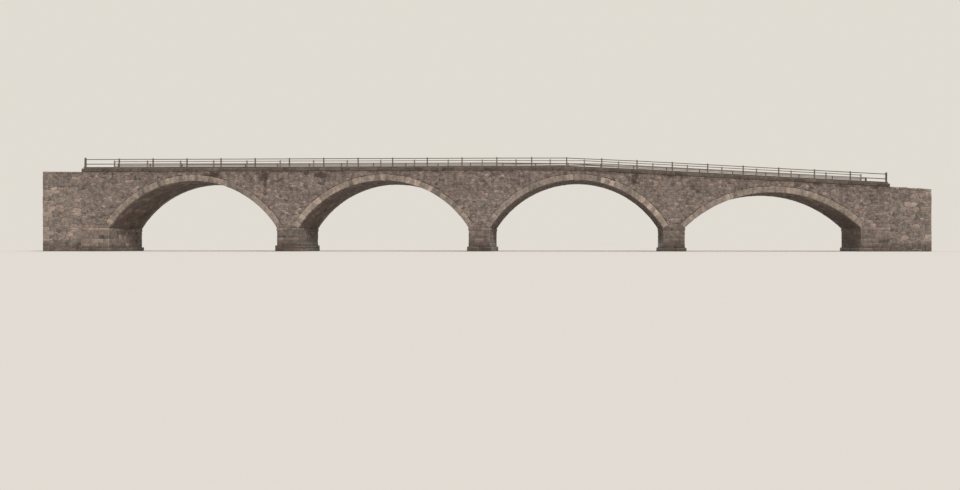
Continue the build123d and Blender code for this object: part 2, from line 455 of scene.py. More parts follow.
def chamfered_box() -> tuple[list[Corner], list[Numbers], list[Numbers]]:
    """Works out a box with all its edges cut off, as corners and faces.

    Returns:
        Each corner point's signs and its side's axis, then the six sides, then the narrow faces.
    """
    corners = [(*signs, axis) for signs in SIGNS for axis in range(3)]
    index = {corner: place for place, corner in enumerate(corners)}
    sides: list[Numbers] = []
    bevels: list[Numbers] = []

    def outwards(*parts: Corner) -> Numbers:
        """Numbers a face's corners.

        Args:
            *parts: The corners, in order.

        Returns:
            Their numbers, turned so that the face looks outwards.
        """
        points = [Vector([2 * sign - 1 for sign in part[:3]]) for part in parts]
        for point, part in zip(points, parts):
            point[part[3]] *= 1.4
        normal = (points[1] - points[0]).cross(points[2] - points[0])
        order = [index[part] for part in parts]
        return order if normal.dot(sum(points, Vector())) > 0 else order[::-1]

    for axis in range(3):
        one, two = [other for other in range(3) if other != axis]

        def corner(sign: int, s: int, t: int, side: int) -> Corner:
            """A corner by its signs along this axis and the two others."""
            signs = {axis: sign, one: s, two: t}
            return signs[0], signs[1], signs[2], side

        for sign in (0, 1):
            sides.append(outwards(*[corner(sign, s, t, axis) for s, t in rectangle(0, 0, 1, 1)]))
        for s, t in product((0, 1), repeat=2):
            ends = ((0, one), (0, two), (1, two), (1, one))
            bevels.append(outwards(*[corner(sign, s, t, side) for sign, side in ends]))
    for signs in SIGNS:
        bevels.append(outwards(*[(*signs, axis) for axis in range(3)]))
    return corners, sides, bevels


BOX_CORNERS, BOX_SIDES, BOX_BEVELS = chamfered_box()


def left_handed(place: Place, at: Values) -> bool:
    """Tells whether a place turns its faces inside out.

    Args:
        place: Maps a stone's own coordinates to space.
        at: Where it is tried, in those coordinates.

    Returns:
        Whether its three directions are left-handed.
    """
    step = 0.001
    u, v, w = at
    here = place(u, v, w)
    du, dv, dw = place(u + step, v, w) - here, place(u, v + step, w) - here, place(u, v, w + step) - here
    return du.cross(dv).dot(dw) < 0


# How far into a joint a point lies, or how worn it is, which the finishes read
OPEN_FACE = 0.0
INNER_ARRIS = 0.15
WEATHERED_HEAD = 0.3
ARRIS = 0.45
BOLT_HEAD = 0.5
SHOULDER = 0.75
JOINT = 1.0

# How a stone's face is shaped, in shares of its rise, of its roughness and of its own size
BEDDED = 0.001
SHOULDER_RISE = 0.55
LEAST_RISE = 0.7
ARRIS_WAVE = 0.3
PEAK_STRAY = 0.25
PEAK_RISE = (0.3, 1.1)
FACET_REACH = (0.35, 0.65)
FACET_RISE = (0.1, 1.0)
LARGEST_ARRIS = 0.3
LEAST_PANEL = 0.3
PANEL_RISE = (0.2, 1.0)


def put_in_scene(name: str, data: bpy.types.ID) -> bpy.types.Object:
    """Makes an object of a mesh, a light or a camera.

    Args:
        name: The object's name.
        data: What it is made of.

    Returns:
        The object.
    """
    item = bpy.data.objects.new(name, data)
    bpy.context.scene.collection.objects.link(item)
    return item


class Layer(Enum):
    """What a face is made of: its piece's first material or its second."""

    FIRST = 0
    SECOND = 1


class Piece:
    """One mesh in the making, in which each stone or timber has a tone of its own."""

    def __init__(self, name: str) -> None:
        """Starts an empty piece.

        Args:
            name: The piece's name, which also seeds its unevenness.
        """
        self.name = name
        self.rng = Random(name)
        self.points: list[Vector] = []
        self.traits: list[tuple[float, float, float, float]] = []
        self.faces: list[Numbers] = []
        self.layers: list[int] = []

    def draw_stone(self) -> Pair:
        """Draws the tone and the hue of one stone."""
        return min(1.0, max(0.0, self.rng.gauss(0.5, 0.2))), self.rng.random()

    def runs(self, start: float, length: float, sizes: Pair) -> Iterator[Pair]:
        """Parts a stretch into uneven runs, and yields where each starts and ends."""
        for low, high in pairwise(divided(length, *sizes, self.rng)):
            yield start + low, start + high

    def add_points(self, points: Sequence[Vector], stone: Pair, edge: float) -> range:
        """Adds points with the traits that the finishes read.

        Args:
            points: The points.
            stone: How pale and how warm their stone is, each from 0 to 1.
            edge: How far into a joint they lie, from 0 to 1.

        Returns:
            The points' numbers.
        """
        start = len(self.points)
        self.points.extend(points)
        self.traits.extend([(*stone, edge, 1.0)] * len(points))
        return range(start, len(self.points))

    def add_face(self, corners: Numbers, layer: Layer = Layer.FIRST, flipped: bool = False) -> None:
        """Adds a face, turned over where its place is left-handed."""
        self.faces.append(tuple(reversed(corners)) if flipped else tuple(corners))
        self.layers.append(layer.value)

    def add_band(
        self, first: Numbers, second: Numbers, layer: Layer = Layer.FIRST, flipped: bool = False
    ) -> None:
        """Joins two rings of points by a band of faces."""
        for corners in zip(first, (*first[1:], first[0]), (*second[1:], second[0]), second):
            self.add_face(corners, layer, flipped)

    def add_fan(self, ring: Numbers, peak: int, layer: Layer = Layer.FIRST, flipped: bool = False) -> None:
        """Joins a ring of points to one point, its peak."""
        for here, after in zip(ring, (*ring[1:], ring[0])):
            self.add_face((here, after, peak), layer, flipped)

    def loft(
        self, rings: Sequence[Sequence[Vector]], layer: Layer = Layer.SECOND, flipped: bool = False,
        tone: float = 0.5, edge: float = 0.0, footed: bool = True,
    ) -> None:
        """Adds a body from one ring of points to the next.

        Args:
            rings: The rings, from the foot to the head.
            layer: What it is made of.
            flipped: Whether its faces are turned over.
            tone: How pale it is.
            edge: How far into a joint it lies.
            footed: Whether its foot is closed.
        """
        placed = [self.add_points(ring, (tone, 0.5), edge) for ring in rings]
        for first, second in pairwise(placed):
            self.add_band(first, second, layer, flipped)
        if footed:
            self.add_face(placed[0][::-1], layer, flipped)
        self.add_face(placed[-1], layer, flipped)

    def prism(self, outline: Outline, low: float, high: float, place: Place) -> None:
        """Adds a plain prism on a counter-clockwise outline, for what lies behind the joints."""
        rings = [[place(u, v, w) for u, v in outline] for w in (low, high)]
        self.loft(rings, flipped=left_handed(place, (*outline[0], low)))

    def strip(self, profile: Outline, end: float) -> None:
        """Adds a plain strip along the roadway, as far as an end both ways, behind the joints."""
        places = [-end + 2 * end * step / STRIP_RUNS for step in range(STRIP_RUNS + 1)]
        self.loft([[on_deck(x, y, height) for y, height in profile] for x in places])

    def pad(self, outline: Outline, place: Place, cut: Cut) -> None:
        """Lays one stone on a surface, with a worn arris all round.

        Args:
            outline: The stone with half of its joints, counter-clockwise.
            place: Maps the outline's plane, and the height over it, to space.
            cut: How the stone is dressed.
        """
        rng = self.rng
        stone = self.draw_stone()
        rise = cut.proud + rng.uniform(-cut.uneven, cut.uneven)
        foot = shrunk(softened(outline, cut.rounding), cut.joint / 2)
        head = shrunk(foot, cut.arris)
        middle = middle_of(foot)
        tilts = [rng.uniform(-1, 1) * cut.uneven for _ in range(2)]
        halves = halves_of(foot, middle)
        low = self.add_points([place(u, v, -BEDDED) for u, v in foot], stone, JOINT)
        side = self.add_points([place(u, v, rise * SHOULDER_RISE) for u, v in foot], stone, SHOULDER)
        top = []
        for corner in head:
            lean = sum(tilt * (c - m) / half for tilt, c, m, half in zip(tilts, corner, middle, halves))
            height = rise + lean + rng.uniform(-ARRIS_WAVE, ARRIS_WAVE) * cut.uneven
            top.append(place(*corner, max(height, LEAST_RISE * rise)))
        cap = self.add_points(top, stone, INNER_ARRIS if cut.rough else OPEN_FACE)
        flipped = left_handed(place, (*middle, 0.0))
        self.add_band(low, side, flipped=flipped)
        self.add_band(side, cap, flipped=flipped)
        if not cut.rough:
            self.add_face(cap, flipped=flipped)
            return
        centre = [m + rng.uniform(-PEAK_STRAY, PEAK_STRAY) * half for m, half in zip(middle, halves)]
        broken = []
        for corner in head:
            share = rng.uniform(*FACET_REACH)
            facet = [m + (c - m) * share for m, c in zip(centre, corner)]
            broken.append(place(*facet, rise + rng.uniform(*FACET_RISE) * cut.rough))
        inner = self.add_points(broken, stone, OPEN_FACE)
        peak = place(*centre, rise + rng.uniform(*PEAK_RISE) * cut.rough)
        self.add_band(cap, inner, flipped=flipped)
        self.add_fan(inner, self.add_points([peak], stone, OPEN_FACE)[0], flipped=flipped)

    def block(self, low: Values, high: Values, place: Place, cut: Cut) -> None:
        """Lays one chamfered block between two corners.

        Args:
            low: The lowest of its three coordinates.
            high: The highest of its three coordinates.
            place: Maps those coordinates to space.
            cut: How the block is dressed.
        """
        rng = self.rng
        stone = self.draw_stone()
        drift = {signs: [rng.uniform(-cut.wander, cut.wander) for _ in range(3)] for signs in SIGNS}
        edge = min(cut.arris, LARGEST_ARRIS * min(top - foot for foot, top in zip(low, high)))
        local = []
        for *signs, axis in BOX_CORNERS:
            insets = [0.0 if other == axis else edge * (1 - 2 * sign) for other, sign in enumerate(signs)]
            ends = [(low, high)[sign][other] for other, sign in enumerate(signs)]
            local.append([sum(parts) for parts in zip(ends, insets, drift[tuple(signs)])])
        outer = self.add_points([place(*corner) for corner in local], stone, ARRIS)
        flipped = left_handed(place, [(foot + top) / 2 for foot, top in zip(low, high)])
        for face in BOX_BEVELS:
            self.add_face([outer[corner] for corner in face], flipped=flipped)
        for number, face in enumerate(BOX_SIDES):
            axis, outward = number // 2, 2 * (number % 2) - 1
            parts = list(zip(*[local[corner] for corner in face]))
            middle = [sum(part) / 4 for part in parts]
            halves = [max(abs(value - centre) for value in part) for part, centre in zip(parts, middle)]
            keep = [max(LEAST_PANEL, 1 - cut.draft / max(half, TINY)) for half in halves]
            lift = outward * rng.uniform(*PANEL_RISE) * cut.rough
            inner = []
            for corner in face:
                point = [m + (c - m) * share for m, c, share in zip(middle, local[corner], keep)]
                point[axis] = local[corner][axis] + lift
                inner.append(place(*point))
            panel = self.add_points(inner, stone, OPEN_FACE)
            self.add_face(panel, flipped=flipped)
            self.add_band([outer[corner] for corner in face], panel, flipped=flipped)

    def mirror(self) -> None:
        """Turns all that is laid so far to the other end of the bridge."""
        for point in self.points:
            point.x = -point.x
        self.faces = [tuple(reversed(face)) for face in self.faces]

    def finish(
        self, materials: Sequence[Material], slot: str, replaced: Sequence[str] = (),
        smooth_under: float = 38.0,
    ) -> None:
        """Makes the piece's object, which rides on the bridge.

        Args:
            materials: The finishes, in the order of the layers.
            slot: Not used.
            replaced: The solids that it stands for.
            smooth_under: Edges that turn by more degrees than this stay sharp.
        """
        for point in self.points:
            for axis, (least, most) in enumerate(zip(*solids_box)):
                point[axis] = min(max(point[axis], least), most)
        mesh = bpy.data.meshes.new(self.name)
        mesh.from_pydata(self.points, [], self.faces)
        for material in materials:
            mesh.materials.append(material)
        mesh.polygons.foreach_set("material_index", self.layers)
        mesh.polygons.foreach_set("use_smooth", [True] * len(self.faces))
        traits = mesh.color_attributes.new(name="stone", type="FLOAT_COLOR", domain="POINT")
        traits.data.foreach_set("color", [part for trait in self.traits for part in trait])
        mesh.set_sharp_from_angle(angle=math.radians(smooth_under))
        mesh.update()
        piece = put_in_scene(self.name, mesh)
        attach(piece, "root")
        if replaced:
            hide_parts(*replaced)
        log.info("%s: %d triangles", self.name, sum(len(face) - 2 for face in self.faces))


def on_face(side: Side, y: float) -> Place:
    """A side face of the bridge: along X, up, and out from a distance off the middle."""
    return lambda u, v, w: Vector((u, side.value * (y + w), v))


def on_end(x: float, outward: int) -> Place:
    """A face that looks along the bridge: across it, up, and out from a place along it."""
    return lambda u, v, w: Vector((x + outward * w, u, v))


def upright(u: float, v: float, w: float) -> Vector:
    """Plain space: along the bridge, across it and up."""
    return Vector((u, v, w))


def on_deck(u: float, v: float, w: float) -> Vector:
    """Along the bridge, across it, and up from the top of the walls."""
    return Vector((u, v, wall_top(u) + w))


# Finishes

MIDDLE_LIFT = 0.82
PALE_LIFT = 1.65
BLACK = (0.0, 0.0, 0.0)
BLOOM = (1.0, 0.94, 0.86)
WORN = (0.78, 0.72, 0.64)
CHECK = (0.01, 0.008, 0.007)
WARM = (0.545, 0.5, 0.455)
COOL = (0.505, 0.5, 0.495)
TRACKS = (0.0475, 0.1975)
UPRIGHT_GRAIN = (520.0, 520.0, 30.0)
LENGTHWISE_GRAIN = (30.0, 520.0, 520.0)


def srgb(red: float, green: float, blue: float) -> Colour:
    """Makes a colour linear, from its parts as they are written for a screen."""
    shares = [part / 255 for part in (red, green, blue)]
    return tuple(share / 12.92 if share <= 0.04045 else ((share + 0.055) / 1.055) ** 2.4 for share in shares)


def tones(red: int, green: int, blue: int) -> Tones:
    """Makes a stone's three tones from its dark one as it is written for a screen."""
    lifts = [1 + lift * (1 - red / 255) for lift in (0.0, MIDDLE_LIFT, PALE_LIFT)]
    return tuple(srgb(red * lift, green * lift, blue * lift) for lift in lifts)


class Graph:
    """Adds, sets and joins the nodes of a material or of a group."""

    def __init__(self, tree: bpy.types.NodeTree) -> None:
        """Takes the node tree to draw in."""
        self.tree = tree

    def add(self, kind: str, inputs: dict | None = None, **settings: object) -> bpy.types.Node:
        """Adds a node.

        Args:
            kind: The node's type, without its common first word.
            inputs: A value or an output for each input, by name or place.
            **settings: The node's own settings.

        Returns:
            The node.
        """
        node = self.tree.nodes.new("ShaderNode" + kind)
        for name, value in settings.items():
            setattr(node, name, value)
        for name, value in (inputs or {}).items():
            self.feed(node.inputs[name], value)
        return node

    def feed(self, socket: Socket, value: object) -> None:
        """Joins an output to a socket, or sets the socket's own value.

        Args:
            socket: What is fed.
            value: An output, a number, a colour or a vector.
        """
        if isinstance(value, Socket):
            self.tree.links.new(value, socket)
        elif isinstance(value, tuple) and len(value) == 3 and socket.type == "RGBA":
            socket.default_value = (*value, 1.0)
        else:
            socket.default_value = value

    def math(self, operation: str, *values: object, clamp: bool = False) -> Socket:
        """One step of arithmetic."""
        return self.add("Math", dict(enumerate(values)), operation=operation, use_clamp=clamp).outputs[0]

    def plus(self, first: object, second: object) -> Socket:
        """The sum of two values."""
        return self.math("ADD", first, second)

    def minus(self, first: object, second: object) -> Socket:
        """One value less another."""
        return self.math("SUBTRACT", first, second)

    def times(self, first: object, second: object) -> Socket:
        """The product of two values."""
        return self.math("MULTIPLY", first, second)

    def larger(self, first: object, second: object) -> Socket:
        """The larger of two values."""
        return self.math("MAXIMUM", first, second)

    def between(self, value: object, low: float, high: float) -> Socket:
        """A smooth step from 0 at low to 1 at high."""
        inputs = {"Value": value, "From Min": low, "From Max": high}
        return self.add("MapRange", inputs, interpolation_type="SMOOTHSTEP").outputs[0]

    def fading(self, value: object, low: float, high: float) -> Socket:
        """A smooth step from 1 at low to 0 at high."""
        return self.minus(1.0, self.between(value, low, high))

    def mix(self, share: object, first: object, second: object, blend: str = "MIX") -> Socket:
        """Two colours, mixed by a share or laid one on the other by a blend."""
        inputs = {0: share, 6: first, 7: second}
        return self.add("Mix", inputs, data_type="RGBA", blend_type=blend).outputs[2]

    def noise(self, vector: object, scale: float, detail: float = 3.0, roughness: float = 0.55) -> Socket:
        """A cloudy value from 0 to 1."""
        inputs = {"Vector": vector, "Scale": scale, "Detail": detail, "Roughness": roughness}
        return self.add("TexNoise", inputs).outputs["Fac"]

    def cells(self, vector: object, scale: float, feature: str = "F1") -> Outputs:
        """Cells round scattered points: the colour of each, and the distance in it."""
        return self.add("TexVoronoi", {"Vector": vector, "Scale": scale}, feature=feature).outputs

    def stretched(self, vector: object, factors: object) -> Socket:
        """A place with each of its axes stretched."""
        return self.add("VectorMath", {0: vector, 1: factors}, operation="MULTIPLY").outputs[0]

    def axes(self, vector: object) -> Outputs:
        """The X, the Y and the Z of a place."""
        return self.add("SeparateXYZ", {0: vector}).outputs

    def parts(self, colour: object) -> Outputs:
        """The red, the green and the blue of a colour."""
        return self.add("SeparateColor", {0: colour}).outputs


class Effect:
    """A shader node group with named inputs and outputs, built once and placed in many materials.

    Each input has its first value, which is empty for a place, and each output its kind of socket.
    """

    name: str
    inputs: dict[str, object]
    outputs: dict[str, str]

    def __init__(self) -> None:
        """Makes the group's sockets, and draws what is between them."""
        self.tree = bpy.data.node_groups.new(self.name, "ShaderNodeTree")
        sockets = self.tree.interface
        for label, value in self.inputs.items():
            kind = "Float" if isinstance(value, float) else "Color" if value else "Vector"
            socket = sockets.new_socket(name=label, in_out="INPUT", socket_type="NodeSocket" + kind)
            if kind != "Vector":
                socket.default_value = (*value, 1.0) if kind == "Color" else value
        for label, kind in self.outputs.items():
            sockets.new_socket(name=label, in_out="OUTPUT", socket_type="NodeSocket" + kind)
        given = self.tree.nodes.new("NodeGroupInput").outputs
        asked = self.tree.nodes.new("NodeGroupOutput").inputs
        graph = Graph(self.tree)
        for label, value in self.draw(graph, given).items():
            graph.feed(asked[label], value)

    def draw(self, graph: Graph, given: Outputs) -> dict[str, Socket]:
        """Draws the effect.

        Args:
            graph: Draws in the group.
            given: The group's inputs.

        Returns:
            What feeds each of its outputs.
        """
        raise NotImplementedError

    def place(self, graph: Graph, inputs: dict[str, object]) -> Outputs:
        """Places the group in a material, with a value or an output for each of its inputs."""
        return graph.add("Group", inputs, node_tree=self.tree).outputs


class StoneTone(Effect):
    """Turns a stone's tone and hue into its colour."""

    name = "Stone tone"
    inputs = {
        "Tone": 0.5, "Hue": 0.5, "Dark": (0.1, 0.1, 0.1), "Middle": (0.2, 0.2, 0.2), "Pale": (0.4, 0.4, 0.4),
    }
    outputs = {"Color": "Color"}

    def draw(self, graph: Graph, given: Outputs) -> dict[str, Socket]:
        """Draws the colour between three tones, then turns it warmer or cooler."""
        colour = graph.mix(graph.between(given["Tone"], 0.05, 0.5), given["Dark"], given["Middle"])
        colour = graph.mix(graph.between(given["Tone"], 0.5, 0.95), colour, given["Pale"])
        cool, warm = [graph.mix(0.5, colour, hue, "SOFT_LIGHT") for hue in (COOL, WARM)]
        return {"Color": graph.mix(given["Hue"], cool, warm)}

    def colour(self, graph: Graph, tone: Socket, hue: Socket, shades: Tones) -> Socket:
        """The colour of a stone, by its tone, its hue and the three tones of its kind."""
        inputs = {"Tone": tone, "Hue": hue, **dict(zip(("Dark", "Middle", "Pale"), shades))}
        return self.place(graph, inputs)["Color"]


class StoneGrain(Effect):
    """A stone's own grain: mottling, and pits for the relief."""

    name = "Stone grain"
    inputs = {"Position": (), "Scale": 1.0}
    outputs = {"Mottle": "Float", "Height": "Float"}

    def draw(self, graph: Graph, given: Outputs) -> dict[str, Socket]:
        """Draws a broad and a fine noise, and pits."""
        inputs = {0: given["Position"], 3: given["Scale"]}
        scaled = graph.add("VectorMath", inputs, operation="SCALE").outputs[0]
        broad, fine = graph.noise(scaled, 38.0, 4.0, 0.6), graph.noise(scaled, 210.0, 3.0, 0.65)
        pitted = graph.between(graph.cells(scaled, 150.0)["Distance"], 0.1, 0.45)
        height = graph.plus(graph.times(fine, 0.55), graph.times(pitted, 0.45))
        return {
            "Mottle": graph.plus(graph.times(broad, 0.6), graph.times(fine, 0.4)),
            "Height": graph.plus(height, graph.times(broad, 0.8)),
        }


class EdgeWear(Effect):
    """Worn arrises, paler than the face, and dirt that lies in the joints."""

    name = "Edge wear"
    inputs = {
        "Color": (0.5, 0.5, 0.5), "Edge": 0.0, "Wear": 0.3, "Dirt": 0.6, "Dirt color": (0.05, 0.04, 0.035),
    }
    outputs = {"Color": "Color"}

    def draw(self, graph: Graph, given: Outputs) -> dict[str, Socket]:
        """Draws the pale arris, then the dirt past it."""
        edge = given["Edge"]
        arris = graph.times(graph.between(edge, 0.12, ARRIS), graph.fading(edge, ARRIS, SHOULDER))
        worn = graph.mix(0.45, given["Color"], WORN)
        pale = graph.mix(graph.times(arris, given["Wear"]), given["Color"], worn)
        dirty = graph.times(graph.between(edge, 0.55, JOINT), given["Dirt"])
        return {"Color": graph.mix(dirty, pale, given["Dirt color"])}


class StainSpot(Effect):
    """One ragged stain on a side face, thinning out downwards."""

    name = "Stain spot"
    inputs = {
        "Position": (), "Along": 0.0, "Up": 0.5, "Half length": 0.05, "Half height": 0.03, "Strength": 0.6,
    }
    outputs = {"Mask": "Float"}

    def draw(self, graph: Graph, given: Outputs) -> dict[str, Socket]:
        """Draws an oval with a noisy edge."""
        axes = graph.axes(given["Position"])
        u = graph.math("DIVIDE", graph.minus(axes["X"], given["Along"]), given["Half length"])
        v = graph.math("DIVIDE", graph.minus(axes["Z"], given["Up"]), given["Half height"])
        reach = graph.math("SQRT", graph.plus(graph.times(u, u), graph.times(v, v)))
        cloud = graph.noise(graph.stretched(given["Position"], (1.0, 1.0, 0.45)), 34.0, 3.0, 0.75)
        edge = graph.plus(reach, graph.times(graph.minus(cloud, 0.5), 2.2))
        return {"Mask": graph.times(graph.fading(edge, 0.55, 1.2), given["Strength"])}


class Damp(Effect):
    """Wet foot, run-off under the coping with a painted shadow band right under it, and soot in large
    clouds.
    """

    name = "Damp"
    inputs = {"Position": (), "Wet height": 0.09, "Run off": 1.0}
    outputs = {"Wet": "Float", "Streaks": "Float", "Clouds": "Float"}

    def draw(self, graph: Graph, given: Outputs) -> dict[str, Socket]:
        """Draws the masks from the height over the foot and the depth under the coping."""
        position = given["Position"]
        axes = graph.axes(position)
        wander = graph.minus(graph.times(graph.noise(position, 9.0), 0.05), 0.025)
        wet = graph.math("DIVIDE", graph.plus(axes["Z"], wander), given["Wet height"])
        fallen = graph.larger(0.0, graph.times(graph.minus(axes["X"], SUMMIT_X), GRADE))
        under = graph.minus(graph.minus(WALL_TOP, fallen), axes["Z"])
        runs = graph.noise(graph.stretched(position, (26.0, 26.0, 3.2)), 1.0, 4.0, 0.6)
        length = graph.times(graph.noise(graph.stretched(position, (7.0, 7.0, 0.5)), 1.0), 0.42)
        reached = graph.math("SUBTRACT", 1.0, graph.math("DIVIDE", under, length), clamp=True)
        streaks_and_shadow = graph.times(graph.between(runs, 0.46, 0.62), graph.between(reached, 0.0, 0.7))
        # Painted shadow: a dark band 12 to 30 mm under the coping, standing in for the coping's cast shadow.
        ragged = graph.plus(under, graph.times(graph.minus(runs, 0.5), 0.05))
        streaks_and_shadow = graph.larger(streaks_and_shadow, graph.fading(ragged, 0.012, 0.03))
        clouds = graph.noise(graph.stretched(position, (1.0, 1.0, 1.7)), 2.3, 4.0, 0.6)
        return {
            "Wet": graph.fading(wet, 0.55, 1.25),
            "Streaks": graph.math("MULTIPLY", streaks_and_shadow, given["Run off"], clamp=True),
            "Clouds": graph.between(clouds, 0.36, 0.66),
        }


class Soiling(Effect):
    """Darkens a colour where it is wet, streaked, sooty or under the painted shadow band of the coping."""

    name = "Soiling"
    inputs = {
        "Color": (0.5, 0.5, 0.5), "Wet": 0.0, "Streaks": 0.0, "Clouds": 0.0, "Stain": 0.0,
        "Soil": (0.041, 0.027, 0.021),
    }
    outputs = {"Color": "Color"}

    def draw(self, graph: Graph, given: Outputs) -> dict[str, Socket]:
        """Draws soot, then stains with run-off and the painted coping shadow, then wet, each a share of the
        way to the dark colour.
        """
        colour, soil_and_shade = given["Color"], given["Soil"]
        dark = graph.larger(graph.times(given["Streaks"], 0.6), given["Stain"])
        wet = graph.times(given["Wet"], 0.66)
        for mask, depth in ((given["Clouds"], 0.5), (dark, 0.86), (wet, 0.75)):
            colour = graph.mix(mask, colour, graph.mix(depth, colour, soil_and_shade))
        return {"Color": colour}


class TimberGrain(Effect):
    """Weathered timber, its grain along an axis that the stretch gives."""

    name = "Timber grain"
    inputs = {"Position": (), "Stretch": ()}
    outputs = {"Grain": "Float", "Checks": "Float"}

    def draw(self, graph: Graph, given: Outputs) -> dict[str, Socket]:
        """Draws the grain, and the fine cracks along it."""
        drawn = graph.stretched(given["Position"], given["Stretch"])
        checks = graph.cells(drawn, 0.6, "DISTANCE_TO_EDGE")["Distance"]
        return {"Grain": graph.noise(drawn, 1.0, 5.0, 0.62), "Checks": graph.between(checks, 0.0, 0.07)}


class Effects:
    """The effects that the finishes share."""

    def __init__(self) -> None:
        """Builds each effect once."""
        self.tone, self.grain, self.wear = StoneTone(), StoneGrain(), EdgeWear()
        self.spot, self.damp, self.soiling, self.timber = StainSpot(), Damp(), Soiling(), TimberGrain()


@dataclass(frozen=True)
class Surface:
    """What a finish feeds its shader, with the relief's depth in metres and its strength."""

    colour: Socket
    roughness: object
    height: Socket
    depth: float
    strength: float


@dataclass(frozen=True)
class Finish:
    """A finish of the bridge, which makes one material."""

    name: str

    def build(self, effects: Effects) -> Material:
        """Makes the material.

        Args:
            effects: The shared effects.

        Returns:
            The material.
        """
        material = bpy.data.materials.new(self.name)
        material.use_nodes = True
        material.node_tree.nodes.clear()
        graph = Graph(material.node_tree)
        made = self.draw(graph, effects, graph.add("TexCoord").outputs["Object"])
        bump = graph.add("Bump", {"Height": made.height, "Distance": made.depth, "Strength": made.strength})
        inputs = {"Base Color": made.colour, "Roughness": made.roughness, "Normal": bump.outputs[0]}
        shader = graph.add("BsdfPrincipled", inputs)
        shader.inputs["Specular IOR Level"].default_value = 0.3
        graph.add("OutputMaterial", {"Surface": shader.outputs[0]})
        return material

    def draw(self, graph: Graph, effects: Effects, position: Socket) -> Surface:
        """Draws the finish.

        Args:
            graph: Draws in the material.
            effects: The shared effects.
            position: The place on the bridge.

        Returns:
            What feeds the shader.
        """
        raise NotImplementedError

    def traits(self, graph: Graph) -> Outputs:
        """A stone's tone, hue and edge, as red, green and blue."""
        return graph.parts(graph.add("Attribute", attribute_name="stone").outputs[0])


@dataclass(frozen=True)
class Stain:
    """One dark patch on the downstream face: its middle, half of its size, and how dark it is."""

    along: float
    up: float
    half_length: float
    half_height: float
    strength: float


STAINS = (
    Stain(-2.54, 0.724, 0.085, 0.036, 0.95),
    Stain(-2.04, 0.704, 0.048, 0.056, 0.95),
    Stain(-2.03, 0.620, 0.018, 0.100, 0.60),
    Stain(-1.64, 0.742, 0.032, 0.022, 0.85),
    Stain(-1.50, 0.716, 0.066, 0.034, 0.90),
    Stain(-0.20, 0.600, 0.120, 0.060, 0.25),
    Stain(0.03, 0.620, 0.060, 0.090, 0.40),
    Stain(1.45, 0.690, 0.034, 0.062, 0.90),
    Stain(1.78, 0.702, 0.036, 0.022, 0.80),
    Stain(3.12, 0.628, 0.040, 0.022, 0.80),
    Stain(3.37, 0.608, 0.060, 0.028, 0.85),
    Stain(3.66, 0.596, 0.036, 0.022, 0.75),
)


@dataclass(frozen=True)
class StoneFinish(Finish):
    """A kind of stone: its dark, middle and pale tones, and how it has weathered."""

    tones: Tones
    wear: float = 0.35
    dirt: float = 0.6
    relief: float = 0.5
    grain_scale: float = 1.0
    wet_height: float = 0.09
    # Share of the run-off streaking and of the painted shadow band under the coping.
    run_off: float = 0.6
    clouds: float = 0.3
    bloom: float = 0.16
    stained: bool = False
    roughness: float = 0.86

    def draw(self, graph: Graph, effects: Effects, position: Socket) -> Surface:
        """Draws the stone's own colour, then its mottling, its wear, its dirt and the painted coping shadow.
        """
        traits = self.traits(graph)
        colour = effects.tone.colour(graph, traits["Red"], traits["Green"], self.tones)
        grain = effects.grain.place(graph, {"Position": position, "Scale": self.grain_scale})
        darker, paler = graph.mix(0.42, colour, BLACK), graph.mix(self.bloom, colour, BLOOM)
        colour = graph.mix(graph.between(grain["Mottle"], 0.3, 0.72), darker, paler)
        worn = {"Color": colour, "Edge": traits["Blue"], "Wear": self.wear, "Dirt": self.dirt}
        where = {"Position": position, "Wet height": self.wet_height, "Run off": self.run_off}
        damp = effects.damp.place(graph, where)
        soil_and_shade = {
            "Color": effects.wear.place(graph, worn)["Color"],
            "Wet": damp["Wet"], "Streaks": damp["Streaks"],
            "Clouds": graph.times(damp["Clouds"], self.clouds),
            "Stain": self.stains(graph, effects, position) if self.stained else 0.0,
        }
        rough = graph.minus(self.roughness, graph.times(damp["Wet"], 0.4))
        colour = effects.soiling.place(graph, soil_and_shade)["Color"]
        return Surface(colour, rough, grain["Height"], 0.0022, self.relief)

    def stains(self, graph: Graph, effects: Effects, position: Socket) -> Socket:
        """Draws the dark patches of the downstream face.

        Args:
            graph: Draws in the material.
            effects: The shared effects.
            position: The place on the bridge.

        Returns:
            One mask of all the patches.
        """
        labels = ("Along", "Up", "Half length", "Half height", "Strength")
        total: object = 0.0
        for stain in STAINS:
            spot = {"Position": position, **dict(zip(labels, astuple(stain)))}
            total = graph.larger(total, effects.spot.place(graph, spot)["Mask"])
        return graph.times(total, graph.math("LESS_THAN", graph.axes(position)["Y"], 0.0))


@dataclass(frozen=True)
class EarthFinish(Finish):
    """Mortar or earth: a dark and a pale colour, with grit of a given scale."""

    dark: Colour
    pale: Colour
    grit: float = 300.0
    relief: float = 0.6

    def draw(self, graph: Graph, effects: Effects, position: Socket) -> Surface:
        """Draws grit of uneven lightness, wet at its foot, with run-off and the painted coping shadow."""
        grit = graph.cells(position, self.grit)
        cloud = graph.noise(position, 14.0, 4.0, 0.6)
        share = graph.plus(graph.times(graph.parts(grit["Color"])["Red"], 0.5), graph.times(cloud, 0.5))
        damp = effects.damp.place(graph, {"Position": position})
        colour = graph.mix(graph.between(share, 0.25, 0.75), self.dark, self.pale)
        soil_and_shade = {"Color": colour, "Wet": damp["Wet"], "Streaks": damp["Streaks"]}
        colour = effects.soiling.place(graph, soil_and_shade)["Color"]
        return Surface(colour, 0.95, graph.minus(1.0, grit["Distance"]), 0.002, self.relief)


